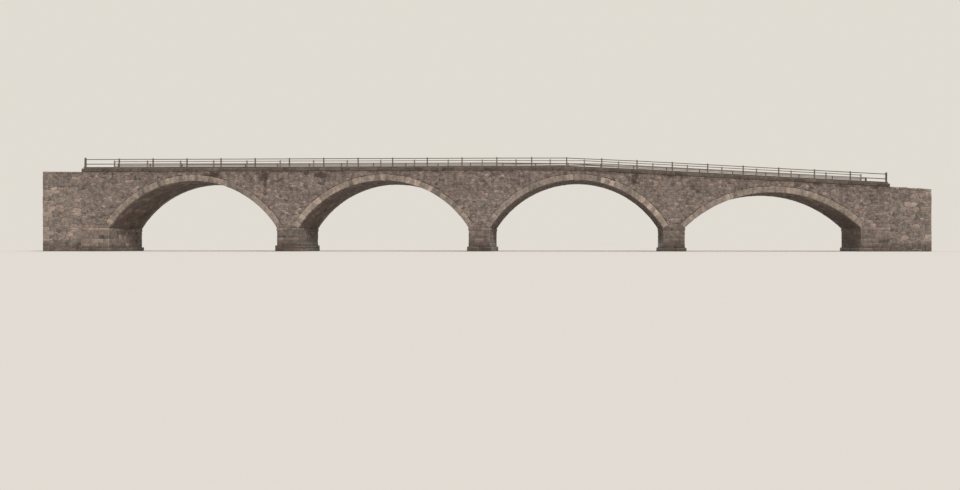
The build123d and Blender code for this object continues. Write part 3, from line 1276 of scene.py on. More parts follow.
@dataclass(frozen=True)
class GravelFinish(Finish):
    """Rolled gravel, worn paler and finer along the wheel tracks, darker at the edges."""

    tones: Tones
    tracks: Pair
    edges: Pair
    track_width: float = 0.028
    grit: float = 430.0

    def draw(self, graph: Graph, effects: Effects, position: Socket) -> Surface:
        """Draws the stones' own colours, then dust on the tracks and dirt at the edges."""
        grit = graph.cells(position, self.grit)
        lightness, hue = graph.parts(grit["Color"])["Red"], graph.noise(position, 60.0)
        colour = effects.tone.colour(graph, lightness, hue, self.tones)
        dusty = graph.between(graph.noise(position, 6.0, 5.0, 0.65), 0.35, 0.7)
        tracks = self.along(graph, position, self.tracks, self.track_width)
        dust = graph.larger(graph.times(dusty, 0.35), graph.times(tracks, 0.55))
        colour = graph.mix(dust, colour, graph.mix(0.6, colour, self.tones[-1]))
        verge = self.along(graph, position, self.edges, self.track_width * 1.5)
        dirty = graph.times(verge, graph.between(graph.noise(position, 22.0, 4.0, 0.6), 0.3, 0.6))
        colour = effects.soiling.place(graph, {"Color": colour, "Clouds": graph.times(dirty, 0.8)})["Color"]
        height = graph.times(graph.minus(1.0, grit["Distance"]), graph.minus(1.0, dust))
        return Surface(colour, 0.95, height, 0.0018, 0.8)

    def along(self, graph: Graph, position: Socket, lines: Values, width: float) -> Socket:
        """Draws soft-edged bands along the bridge.

        Args:
            graph: Draws in the material.
            position: The place on the bridge.
            lines: The bands' distances off the bridge's middle.
            width: About half of a band's width.

        Returns:
            One mask of all the bands.
        """
        wander = graph.times(graph.minus(graph.noise(position, 3.0), 0.5), 0.05)
        y = graph.plus(graph.axes(position)["Y"], wander)
        total: object = 0.0
        for line in lines:
            off = graph.math("ABSOLUTE", graph.minus(y, line))
            total = graph.larger(total, graph.fading(off, width * 0.4, width * 1.4))
        return total


@dataclass(frozen=True)
class TimberFinish(Finish):
    """Weathered timber, its grain drawn out along one axis."""

    dark: Colour
    pale: Colour
    stretch: tuple[float, float, float]

    def draw(self, graph: Graph, effects: Effects, position: Socket) -> Surface:
        """Draws the grain, shifted for each timber, then its cracks and its worn edges."""
        traits = self.traits(graph)
        inputs = {0: position, 1: graph.times(traits["Green"], 7.0)}
        moved = graph.add("VectorMath", inputs, operation="ADD").outputs[0]
        stretch = graph.add("CombineXYZ", dict(enumerate(self.stretch))).outputs[0]
        timber = effects.timber.place(graph, {"Position": moved, "Stretch": stretch})
        grain = graph.between(timber["Grain"], 0.3, 0.7)
        toned = graph.plus(graph.times(grain, 0.6), graph.times(traits["Red"], 0.4))
        colour = graph.mix(toned, self.dark, self.pale)
        colour = graph.mix(timber["Checks"], graph.mix(0.75, colour, CHECK), colour)
        worn = {"Color": colour, "Edge": traits["Blue"], "Wear": 0.5, "Dirt": 0.5}
        height = graph.plus(graph.times(timber["Grain"], 0.6), timber["Checks"])
        rough = graph.plus(0.7, graph.times(grain, 0.2))
        return Surface(effects.wear.place(graph, worn)["Color"], rough, height, 0.0006, 0.6)


TARRED = srgb(52, 43, 38), srgb(104, 89, 79)
BLEACHED = srgb(110, 96, 85), srgb(162, 146, 130)
SILL = srgb(60, 50, 45), srgb(110, 96, 86)
AGED = srgb(64, 51, 43), srgb(87, 72, 62), srgb(106, 90, 79)
ROAD = srgb(100, 87, 77), srgb(146, 131, 117), srgb(182, 167, 150)

FINISHES: dict[str, Finish] = {
    "rubble": StoneFinish("rubble stone", tones(72, 61, 56), wear=0.3, stained=True),
    "dressed": StoneFinish("dressed stone", tones(90, 79, 71), wear=0.3, relief=0.35, clouds=0.2),
    # Soffit: darker tones, heavier soot clouds and less pale mottling than the walls; partly soot and wet,
    # partly painted shade under the arches.
    "soffit": StoneFinish("soffit stone", tones(65, 54, 48), clouds=0.6, bloom=0.09),
    "pier": StoneFinish("pier stone", tones(63, 53, 48), wet_height=0.12, bloom=0.12),
    "abutment": StoneFinish("abutment stone", tones(75, 64, 58), wet_height=0.06, bloom=0.12),
    "footing": StoneFinish("footing stone", tones(59, 48, 43), wet_height=0.13, bloom=0.09),
    "boulders": StoneFinish("wall stone", tones(76, 66, 60), wear=0.3, grain_scale=0.8, run_off=0.4),
    "coping": StoneFinish("coping stone", AGED, run_off=0.0, wear=0.15, bloom=0.06),
    "flags": StoneFinish("flag stone", tones(92, 81, 74), run_off=0.0, relief=0.3),
    "mortar": EarthFinish("mortar", srgb(60, 51, 46), srgb(104, 92, 83)),
    "earth": EarthFinish("earth fill", srgb(82, 66, 54), srgb(126, 106, 88), 120.0, 0.8),
    "gravel": GravelFinish("gravel", ROAD, TRACKS, (FOOTWAY_EDGE, INNER)),
    "posts": TimberFinish("timber posts", *TARRED, UPRIGHT_GRAIN),
    "rails": TimberFinish("timber rails", *TARRED, LENGTHWISE_GRAIN),
    "fence_posts": TimberFinish("fence posts", *BLEACHED, UPRIGHT_GRAIN),
    "fence_rails": TimberFinish("fence rails", *BLEACHED, LENGTHWISE_GRAIN),
    "sill": TimberFinish("sill timber", *SILL, LENGTHWISE_GRAIN),
}


# The bridge's parts


@dataclass
class Part:
    """A sub-assembly of the bridge, which takes its materials by what they are for."""

    materials: dict[str, Material]

    def build(self) -> None:
        """Lays the sub-assembly's pieces."""
        raise NotImplementedError

    def made_of(self, *names: str) -> list[Material]:
        """The materials of a piece's layers, in order."""
        return [self.materials[name] for name in names]

    def paint(self, node: str, name: str) -> None:
        """Gives a solid that stays in sight a finish of its own."""
        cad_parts[node].data.materials.clear()
        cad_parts[node].data.materials.append(self.materials[name])


@dataclass
class Spandrels(Part):
    """The rubble walls over the arches, on both faces."""

    cut: Cut = RUBBLE
    gap: float = 0.0012
    smallest: float = 5e-5
    smooth_under: float = 60.0

    def build(self) -> None:
        """Lays the rubble of both faces, one piece for each wall."""
        ends = [-ABUTMENT_X, *[arch.centre_x for arch in ARCHES], ABUTMENT_X]
        for side in Side:
            stones = self.face_of(side)
            place = on_face(side, HALF_WIDTH)
            for number, (low, high) in enumerate(pairwise(ends), start=1):
                node = f"{side.label}_spandrel_{number}"
                piece = Piece(f"{node}_rubble")
                for outline in stones:
                    if low <= middle_of(outline)[0] < high:
                        piece.pad(outline, place, self.cut)
                piece.finish(self.made_of("rubble"), "rubble", smooth_under=self.smooth_under)
                self.paint(node, "mortar")

    def face_of(self, side: Side) -> list[Outline]:
        """Fits the stones of one face round the arches and under the coping.

        Args:
            side: The face.

        Returns:
            The stones' outlines, along the bridge and up.
        """
        rng = Random(f"rubble {side.label}")
        lowest = min(arch.bed(1)[1][1] for arch in ARCHES)
        cells = rubble((-ABUTMENT_X, lowest, ABUTMENT_X, WALL_TOP), self.cut, rng)
        fitted = [self.fit(cell) for cell in cells if cell]
        return [outline for outline in fitted if len(outline) > 2 and area_of(outline) > self.smallest]

    def fit(self, cell: Outline) -> Outline:
        """Trims a stone to the wall.

        Args:
            cell: The stone's outline.

        Returns:
            What is left of it, or nothing.
        """
        u, v = middle_of(cell)
        cell = within(under_wall_top(cell, self.gap), -ABUTMENT_X, ABUTMENT_X)
        for arch in ARCHES:
            outer = arch.radius + RING_DEPTH
            du, dv = u - arch.centre_x, v - arch.centre_z
            reach = math.hypot(du, dv)
            if reach < outer - self.cut.length[1]:
                return []
            if reach < outer + self.cut.length[1]:
                normal = (-du / reach, -dv / reach)
                edge = outer + self.gap
                through = arch.centre_x - normal[0] * edge, arch.centre_z - normal[1] * edge
                cell = clip(cell, through, normal)
        left = max((arch.bed(1)[1] for arch in ARCHES if arch.bed(1)[1][0] < u), default=None)
        right = min((arch.bed(-1)[1] for arch in ARCHES if arch.bed(-1)[1][0] > u), default=None)
        left, right = left or (-ABUTMENT_X, right[1]), right or (ABUTMENT_X, left[1])
        if left[0] < u < right[0] and right[0] - left[0] < SPAN:
            lean = (right[1] - left[1]) / (right[0] - left[0])
            cell = clip(cell, (left[0], left[1] + self.gap), (lean, -1.0))
        return cell


@dataclass
class Rings(Part):
    """The dressed rings of the arches on both faces, and the courses of the barrels between them."""

    ring_cut: Cut = VOUSSOIR
    soffit_cut: Cut = SOFFIT
    keystone: float = 0.048
    keystone_proud: float = 0.001
    uneven_back: float = 0.006
    foot_proud: float = 0.0014

    def build(self) -> None:
        """Lays the voussoirs and the barrels of all the arches."""
        for arch in ARCHES:
            joints = self.joints(arch)
            for side in Side:
                self.ring(arch, side, joints)
            self.barrel(arch, joints)

    def joints(self, arch: Arch) -> list[float]:
        """Parts a ring, the same on both faces and through the barrel.

        Args:
            arch: The arch.

        Returns:
            Where its joints are along the underside.
        """
        rng = Random(f"voussoirs {arch.number}")
        half = (arch.length - self.keystone) / 2
        left, right = [divided(half, *self.ring_cut.length, rng) for _ in range(2)]
        return [*left, *[half + self.keystone + along for along in right]]

    def ring(self, arch: Arch, side: Side, joints: Values) -> None:
        """Lays one face ring.

        Args:
            arch: The arch.
            side: The face.
            joints: Where the joints are.
        """
        cut = self.ring_cut
        piece = Piece(f"arch_{arch.number}_{side.label}_voussoirs")

        def place(u: float, v: float, w: float) -> Vector:
            """Along the ring, into its depth, and out of its face."""
            return arch.at(u, v, side.value * (FACE + w))

        for left, right in pairwise(joints):
            keystone = abs((left + right) / 2 - arch.length / 2) < self.keystone / 4
            proud = cut.proud + piece.rng.uniform(-cut.uneven, cut.uneven)
            depth = RING_DEPTH - piece.rng.uniform(0.0, self.uneven_back) * (not keystone)
            low = (left + cut.joint / 2, -self.foot_proud, -RING_WIDTH)
            high = (right - cut.joint / 2, depth, proud + self.keystone_proud * keystone)
            piece.block(low, high, place, cut)
        piece.finish(self.made_of("dressed"), "dressed")
        self.paint(f"arch_{arch.number}_{side.label}_ring", "mortar")

    def barrel(self, arch: Arch, joints: Values) -> None:
        """Lays the barrel's courses, seen from below.

        Args:
            arch: The arch.
            joints: Where the joints are.
        """
        cut = self.soffit_cut
        piece = Piece(f"arch_{arch.number}_barrel_stones")
        width = HALF_WIDTH - RING_WIDTH

        def place(u: float, v: float, w: float) -> Vector:
            """Along the underside, across the bridge, and down from it."""
            return arch.at(u, -w, v)

        for left, right in pairwise(joints):
            for low, high in piece.runs(-width, 2 * width, cut.length):
                strayed = []
                for corner in rectangle(left, low, right, high):
                    strayed.append(tuple(part + piece.rng.uniform(-1, 1) * cut.wander for part in corner))
                piece.pad(strayed, place, cut)
        piece.finish(self.made_of("soffit"), "rubble")
        self.paint(f"arch_{arch.number}_vault", "mortar")


@dataclass
class Supports(Part):
    """Piers, abutments and footings of coursed dressed blocks."""

    cut: Cut = BLOCKS
    footing_cut: Cut = FOOTING
    bond_depth: float = 0.022
    corner_share: float = 0.95
    inset: float = 0.004
    off_floor: float = 0.001

    def build(self) -> None:
        """Lays all the piers and both abutments."""
        for number in range(1, len(ARCHES)):
            self.pier(number)
            self.footing(number)
        self.abutment("left", -1, ARCHES[0])
        self.abutment("right", 1, ARCHES[-1])

    def course(self, piece: Piece, box: Values, cut: Cut, turned: bool, closed: bool = True) -> None:
        """Lays one course round a rectangle, its corner stones turned in every other course.

        Args:
            piece: Gets the blocks.
            box: Lowest and highest X, Y and Z of the course's outer faces.
            cut: How the blocks are dressed.
            turned: Whether the corner stones lie across the bridge.
            closed: Whether the face at the highest X is seen too.
        """
        x0, x1, y0, y1, z0, z1 = box
        rng = piece.rng
        long, short = cut.length[1] * self.corner_share, cut.length[0]
        along, over = (short, long) if turned else (long, short)
        along = min(along, (x1 - x0) / 2)
        half_joint = cut.joint / 2

        def lay(*edges: float) -> None:
            """Lays one block, its seen faces a little uneven.

            Args:
                *edges: Its lowest X and Y, then its highest X and Y.
            """
            placed = []
            for edge, face, outward in zip(edges, (x0, y0, x1, y1), (-1, -1, 1, 1)):
                bulge = cut.proud + rng.uniform(-cut.uneven, cut.uneven)
                placed.append(edge + outward * (bulge if edge == face else -half_joint))
            piece.block((*placed[:2], z0 + half_joint), (*placed[2:], z1 - half_joint), upright, cut)

        for low_y, high_y in ((y0, y0 + over), (y1 - over, y1)):
            lay(x0, low_y, x0 + along, high_y)
            if closed:
                lay(x1 - along, low_y, x1, high_y)
        depth = self.bond_depth
        face_end = x1 - along if closed else x1
        if face_end - x0 - along > short / 3:
            for low, high in piece.runs(x0 + along, face_end - x0 - along, cut.length):
                high = min(high, face_end)
                lay(low, y0, high, y0 + depth)
                lay(low, y1 - depth, high, y1)
        for low, high in piece.runs(y0 + over, y1 - y0 - 2 * over, cut.length):
            lay(x0, low, x0 + depth, high)
            if closed:
                lay(x1 - depth, low, x1, high)

    def courses(self, piece: Piece, box: Values, cut: Cut, closed: bool = True) -> None:
        """Lays courses of uneven height from the foot to the top of a box, as course() takes it."""
        for place, heights in enumerate(piece.runs(box[4], box[5] - box[4], cut.height)):
            self.course(piece, (*box[:4], *heights), cut, place % 2 == 1, closed)

    def impost(self, piece: Piece, x0: float, x1: float, closed: bool = True) -> None:
        """Lays the projecting course under the springing."""
        y = FACE + IMPOST_PROUD
        self.course(piece, (x0, x1, -y, y, SPRINGING - IMPOST_HEIGHT, SPRINGING), self.cut, False, closed)

    def saddle(self, piece: Piece, outline: Outline) -> None:
        """Lays the stones over an impost, cut to the beds of the rings, on both faces.

        Args:
            piece: Gets the stones.
            outline: What they fill, along the bridge and up.
        """
        low, high = min(u for u, _ in outline), max(u for u, _ in outline)
        for side, ends in product(Side, piece.runs(low, high - low, self.cut.length)):
            part = within(outline, *ends)
            if len(part) > 2:
                piece.pad(part, on_face(side, FACE), self.cut)

    def pier(self, number: int) -> None:
        """Lays one pier on its solid.

        Args:
            number: The pier's number from the left.
        """
        left, right = ARCHES[number - 1 : number + 1]
        piece = Piece(f"pier_{number}_blocks")
        x = (left.centre_x + right.centre_x) / 2
        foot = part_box(f"pier_{number}_footing")[1].z
        x0, x1 = x - PIER / 2, x + PIER / 2
        self.courses(piece, (x0, x1, -FACE, FACE, foot, SPRINGING - IMPOST_HEIGHT), self.cut)
        self.impost(piece, x0 - IMPOST_PROUD, x1 + IMPOST_PROUD)
        self.saddle(piece, [left.bed(1)[0], right.bed(-1)[0], right.bed(-1)[1], left.bed(1)[1]])
        piece.finish(self.made_of("pier"), "dressed")
        self.paint(f"pier_{number}", "mortar")

    def footing(self, number: int) -> None:
        """Builds one pier's footing in place of its solid.

        Args:
            number: The pier's number from the left.
        """
        node = f"pier_{number}_footing"
        low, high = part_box(node)
        piece = Piece(f"{node}_blocks")
        edge = self.inset
        core = rectangle(low.x + edge, low.y + edge, high.x - edge, high.y - edge)
        piece.prism(core, low.z, high.z - edge, upright)
        self.courses(piece, (low.x, high.x, low.y, high.y, low.z, high.z), self.footing_cut)
        edge += LEDGE
        bed = rectangle(low.x + edge, low.y + edge, high.x - edge, high.y - edge)
        piece.prism(bed, high.z - 2 * self.inset, high.z, upright)
        piece.finish(self.made_of("footing", "mortar"), "wet_dressed", [node])

    def abutment(self, name: str, side: int, arch: Arch) -> None:
        """Builds one abutment in place of its solid, at the right end and then turned to its own.

        Args:
            name: The end's name.
            side: -1 for the left end, 1 for the right one.
            arch: The arch that springs from it.
        """
        node = f"{name}_abutment"
        piece = Piece(f"{node}_blocks")
        bed_low, bed_high = arch.bed(side)
        foot = (SPRINGING_X - LEDGE, ABUTMENT_X, -FACE - LEDGE, FACE + LEDGE, 0.0, ABUTMENT_FOOTING)
        wall = (SPRINGING_X, ABUTMENT_X, -FACE, FACE, ABUTMENT_FOOTING, SPRINGING - IMPOST_HEIGHT)
        self.courses(piece, foot, self.footing_cut, closed=False)
        self.courses(piece, wall, self.cut, closed=False)
        self.impost(piece, SPRINGING_X - IMPOST_PROUD, ABUTMENT_X, closed=False)
        head = [
            (abs(bed_low[0]), SPRINGING), (ABUTMENT_X, SPRINGING),
            (ABUTMENT_X, bed_high[1]), (abs(bed_high[0]), bed_high[1]),
        ]
        self.saddle(piece, head)
        core = rectangle(foot[0] + self.inset, foot[2] + self.inset, ABUTMENT_X, foot[3] - self.inset)
        piece.prism(core, 0.0, ABUTMENT_FOOTING - self.inset, upright)
        piece.prism(rectangle(SPRINGING_X, -FACE, ABUTMENT_X, FACE), self.off_floor, SPRINGING, upright)
        piece.prism(head, -FACE, FACE, lambda u, v, w: Vector((u, w, v)))
        if side < 0:
            piece.mirror()
        piece.finish(self.made_of("abutment", "mortar"), "dressed", [node])


@dataclass
class Wings(Part):
    """The rough walls past the abutments, with the roadway let in between their tops."""

    cut: Cut = BOULDERS
    quoins: Cut = QUOINS
    inset: float = 0.005
    quoin_legs: Pair = (0.092, 0.056)
    quoin_share: Pair = (0.94, 1.08)
    quoin_proud: float = 0.0016
    half_bed: float = 0.0007
    top_stones: float = 0.026
    top_uneven: float = 0.004
    top_sunk: float = 0.0006
    top_gap: float = 0.001
    clear: float = 0.002
    smallest: float = 1e-4
    smooth_under: float = 60.0

    def build(self) -> None:
        """Builds both wings in place of their solids."""
        for name, side in (("left", -1), ("right", 1)):
            self.wing(f"{name}_wing_wall", side)

    def wing(self, node: str, side: int) -> None:
        """Builds one wing.

        Args:
            node: Its solid's node.
            side: -1 for the left one, 1 for the right one.
        """
        piece = Piece(f"{node}_rubble")
        near, far = sorted((side * ABUTMENT_X, side * HALF_LENGTH))
        x = side * (HALF_LENGTH - self.inset)
        top = wall_top(x)
        corner = self.quoin_legs[1] + self.inset
        ends = (near, far - corner) if side > 0 else (near + corner, far)
        self.core(piece, sorted((side * ABUTMENT_X, x)))
        for face in Side:
            for cell in rubble((near, 0.0, far, WALL_TOP), self.cut, piece.rng):
                self.lay(piece, self.trim(cell, ends), on_face(face, HALF_WIDTH))
        for cell in rubble((-HALF_WIDTH, 0.0, HALF_WIDTH, top), self.cut, piece.rng):
            self.lay(piece, self.trim_end(cell, top), on_end(x, side))
        self.tops(piece, near, far)
        self.corners(piece, x, side)
        piece.finish(self.made_of("boulders", "mortar"), "wall_rubble", [node], self.smooth_under)

    def lay(self, piece: Piece, outline: Outline, place: Place) -> None:
        """Lays a stone where enough of it is left."""
        if len(outline) > 2 and area_of(outline) > self.smallest:
            piece.pad(outline, place, self.cut)

    def trim(self, cell: Outline, ends: Pair) -> Outline:
        """Trims a stone of a side face to the wall's height and between two ends."""
        cell = clip(under_wall_top(cell, self.top_stones), (0.0, self.clear), (0.0, -1.0))
        return within(cell, *ends)

    def trim_end(self, cell: Outline, top: float) -> Outline:
        """Trims a stone of a wing's end between the corner stones and under the roadway.

        Args:
            cell: The stone's outline, across the bridge and up.
            top: Height of the wall there.

        Returns:
            What is left of it.
        """
        cell = clip(clip(cell, (0.0, self.clear), (0.0, -1.0)), (0.0, top - self.top_uneven), (0.0, 1.0))
        cell = within(cell, self.quoin_legs[1] - HALF_WIDTH, HALF_WIDTH - self.quoin_legs[1])
        if len(cell) > 2 and abs(middle_of(cell)[0]) < INNER:
            cell = clip(cell, (0.0, top + ROAD_LEVEL - ROAD_DEPTH - self.clear), (0.0, 1.0))
        return cell

    def corners(self, piece: Piece, end: float, side: int) -> None:
        """Lays the large corner stones, their long sides turned in every other course.

        Args:
            piece: Gets the stones.
            end: Where the wing's end face is.
            side: -1 for the left wing, 1 for the right one.
        """
        cut = self.quoins
        for face in Side:
            heights = piece.runs(0.0, wall_top(end) - self.top_stones, cut.height)
            for course, (low, high) in enumerate(heights):
                legs = self.quoin_legs if course % 2 else self.quoin_legs[::-1]
                along, over = [leg * piece.rng.uniform(*self.quoin_share) for leg in legs]
                xs = sorted((end - side * along, end + side * cut.proud))
                ys = face.across(HALF_WIDTH - over, HALF_WIDTH + cut.proud + self.quoin_proud)
                low, high = low + self.half_bed, high - self.half_bed
                piece.block((xs[0], ys[0], low), (xs[1], ys[1], high), upright, cut)

    def core(self, piece: Piece, ends: Values) -> None:
        """Adds the mortared mass behind the stones, with the channel for the roadway.

        Args:
            piece: Gets the mass.
            ends: Its lowest and highest X.
        """
        rings = []
        for x in ends:
            top, bed = wall_top(x) - self.inset, wall_top(x) + ROAD_LEVEL - ROAD_DEPTH
            profile = [
                (-HALF_WIDTH, 0.0), (HALF_WIDTH, 0.0), (HALF_WIDTH, top), (INNER, top),
                (INNER, bed), (-INNER, bed), (-INNER, top), (-HALF_WIDTH, top),
            ]
            rings.append([Vector((x, y, z)) for y, z in profile])
        piece.loft(rings)

    def tops(self, piece: Piece, near: float, far: float) -> None:
        """Lays the rough stones along the tops of both walls.

        Args:
            piece: Gets the stones.
            near: The wing's lowest X.
            far: Its highest X.
        """
        gap = self.top_gap
        for face in Side:
            y0, y1 = face.across(HALF_WIDTH + 2 * gap, INNER - gap)
            for start, end in piece.runs(near, far - near, self.cut.length):
                top = -self.top_sunk - piece.rng.uniform(0.0, self.top_uneven)
                low = (start + gap, y0, -self.top_stones - gap)
                piece.block(low, (end - gap, y1, top), on_deck, self.cut)


@dataclass
class Coping(Part):
    """The projecting slabs along the tops of the walls, and the mortar under them and the sills."""

    cut: Cut = SLABS
    uneven_edge: float = 0.003
    uneven_foot: float = 0.001
    inset: float = 0.006
    end_inset: float = 0.004
    drop: float = 0.005
    bed_half: float = 0.007
    bed_depth: float = 0.008

    def build(self) -> None:
        """Lays the slabs of both sides in place of their solids."""
        outer = HALF_WIDTH + COPING_OVERHANG
        for side in Side:
            piece = Piece(f"{side.label}_coping_slabs")
            rng = piece.rng
            for start, end in piece.runs(-ABUTMENT_X, 2 * ABUTMENT_X, self.cut.length):
                y0, y1 = side.across(outer - rng.uniform(0.0, self.uneven_edge), INNER)
                top = COPING_HEIGHT + self.cut.proud + rng.uniform(-1, 1) * self.cut.uneven
                low = (start + self.cut.joint / 2, y0, rng.uniform(0.0, self.uneven_foot))
                piece.block(low, (end - self.cut.joint / 2, y1, top), on_deck, self.cut)
            y0, y1 = side.across(outer - self.inset, INNER + self.end_inset)
            core = rectangle(y0, 0.0, y1, COPING_HEIGHT - self.drop)
            piece.strip(core, ABUTMENT_X - self.end_inset)
            y0, y1 = side.across(POST_Y - self.bed_half, POST_Y + self.bed_half)
            piece.strip(rectangle(y0, COPING_HEIGHT - self.bed_depth, y1, COPING_HEIGHT), RAIL_END)
            piece.finish(self.made_of("coping", "mortar"), "coping", [f"{side.label}_coping"])


@dataclass
class Railing(Part):
    """A row of posts with two rails, and the sill that the outer rows stand on."""

    name: str
    y: float
    inner: int
    places: list[float]
    foot: float
    finish: str = ""
    sill: str = ""
    cut: Cut = TIMBER
    gap: float = 0.0005
    rail_gap: float = 0.0004
    rail_uneven: float = 0.0008
    rail_tenon: float = 0.002
    uneven_top: float = 0.002
    leans: Pair = (0.006, 0.004)
    head: float = 0.004
    head_share: float = 0.55
    neck_share: float = 0.98
    bolt_sides: int = 6
    bolt_radius: float = 0.0024
    bolt_height: float = 0.0014
    bolt_crown: Pair = (0.6, 1.35)
    bolt_tone: float = 0.1

    def build(self) -> None:
        """Builds the sill, the posts and the rails in place of their solids."""
        if self.sill:
            self.lay_sill()
        self.set_posts()
        self.fix_rails()

    def lay_sill(self) -> None:
        """Lays the sill's timbers end to end."""
        piece = Piece(f"{self.sill}_timbers")
        reach = RAIL_END + END_POST
        for start, end in piece.runs(-reach, 2 * reach, self.cut.length):
            low = (start + self.gap, self.y - SILL_WIDTH / 2, COPING_HEIGHT)
            high = (end - self.gap, self.y + SILL_WIDTH / 2, COPING_HEIGHT + SILL_HEIGHT)
            piece.block(low, high, on_deck, self.cut)
        piece.finish(self.made_of("sill"), "timber", [self.sill])

    def set_posts(self) -> None:
        """Sets the posts, each leaning a little its own way, with a weathered head."""
        piece = Piece(f"{self.name}_post_timbers")
        for number, x in enumerate(self.places):
            at_end = bool(self.sill) and number in (0, len(self.places) - 1)
            half = (END_POST if at_end else POST) / 2
            extra = END_POST_EXTRA if at_end else 0.0
            height = COPING_HEIGHT + POST_HEIGHT + extra - piece.rng.uniform(0.0, self.uneven_top)
            lean = [piece.rng.uniform(-most, most) for most in self.leans]
            foot = wall_top(x) + self.foot

            def place(u: float, v: float, w: float) -> Vector:
                """A place in the post, which leans from its foot."""
                return Vector((x + u + lean[0] * w, self.y + v + lean[1] * w, foot + w))

            shaft = height - self.foot - self.head
            piece.block((-half, -half, -BEDDED), (half, half, shaft), place, self.cut)
            neck = shaft - self.gap
            rings = []
            for reach, w in ((half * self.neck_share, neck), (half * self.head_share, neck + self.head)):
                rings.append([place(u, v, w) for u, v in rectangle(-reach, -reach, reach, reach)])
            piece.loft(rings, Layer.FIRST, edge=WEATHERED_HEAD, footed=False)
        piece.finish(self.made_of(f"{self.finish}posts"), "timber", [f"{self.name}_posts"])

    def fix_rails(self) -> None:
        """Fixes two rails of long timbers that meet at the posts, and a bolt at each post."""
        piece = Piece(f"{self.name}_rail_timbers")
        inset = END_POST / 2 - self.rail_tenon if self.sill else 0.0
        face = self.y + self.inner * POST / 2
        edges = sorted((face, face + self.inner * RAIL))
        top = COPING_HEIGHT + POST_HEIGHT - TOP_RAIL_DROP
        middle = COPING_HEIGHT + MIDDLE_RAIL_LEVEL
        ends = [self.places[0] + inset, *self.places[1:-1], self.places[-1] - inset]
        for low, high in ((top - TOP_RAIL, top), (middle, middle + MIDDLE_RAIL)):
            start = 0
            while start < len(ends) - 1:
                end = min(start + piece.rng.choice((2, 2, 3)), len(ends) - 1)
                shift = piece.rng.uniform(-self.rail_uneven, self.rail_uneven)
                corner = (ends[start] + self.rail_gap, edges[0], low + shift)
                piece.block(corner, (ends[end] - self.rail_gap, edges[1], high + shift), on_deck, self.cut)
                start = end
            for x in self.places[1:-1]:
                self.bolt(piece, x, (low + high) / 2)
        piece.finish(self.made_of(f"{self.finish}rails"), "timber", [f"{self.name}_rails"])

    def bolt(self, piece: Piece, x: float, height: float) -> None:
        """Adds a bolt head on the outer face of a post.

        Args:
            piece: Gets the bolt.
            x: The post's place.
            height: The bolt's height over the top of the wall.
        """
        radius, rise = self.bolt_radius, self.bolt_height
        y = self.y - self.inner * POST / 2
        angles = [2 * math.pi * corner / self.bolt_sides for corner in range(self.bolt_sides)]
        crown = (radius * self.bolt_crown[0], rise * self.bolt_crown[1])
        rings = []
        for reach, out in ((radius, -self.rail_gap), (radius, rise), crown):
            around = [(x + reach * math.cos(angle), height + reach * math.sin(angle)) for angle in angles]
            rings.append([on_deck(u, y - self.inner * out, w) for u, w in around])
        piece.loft(rings, Layer.FIRST, self.inner < 0, self.bolt_tone, BOLT_HEAD, footed=False)


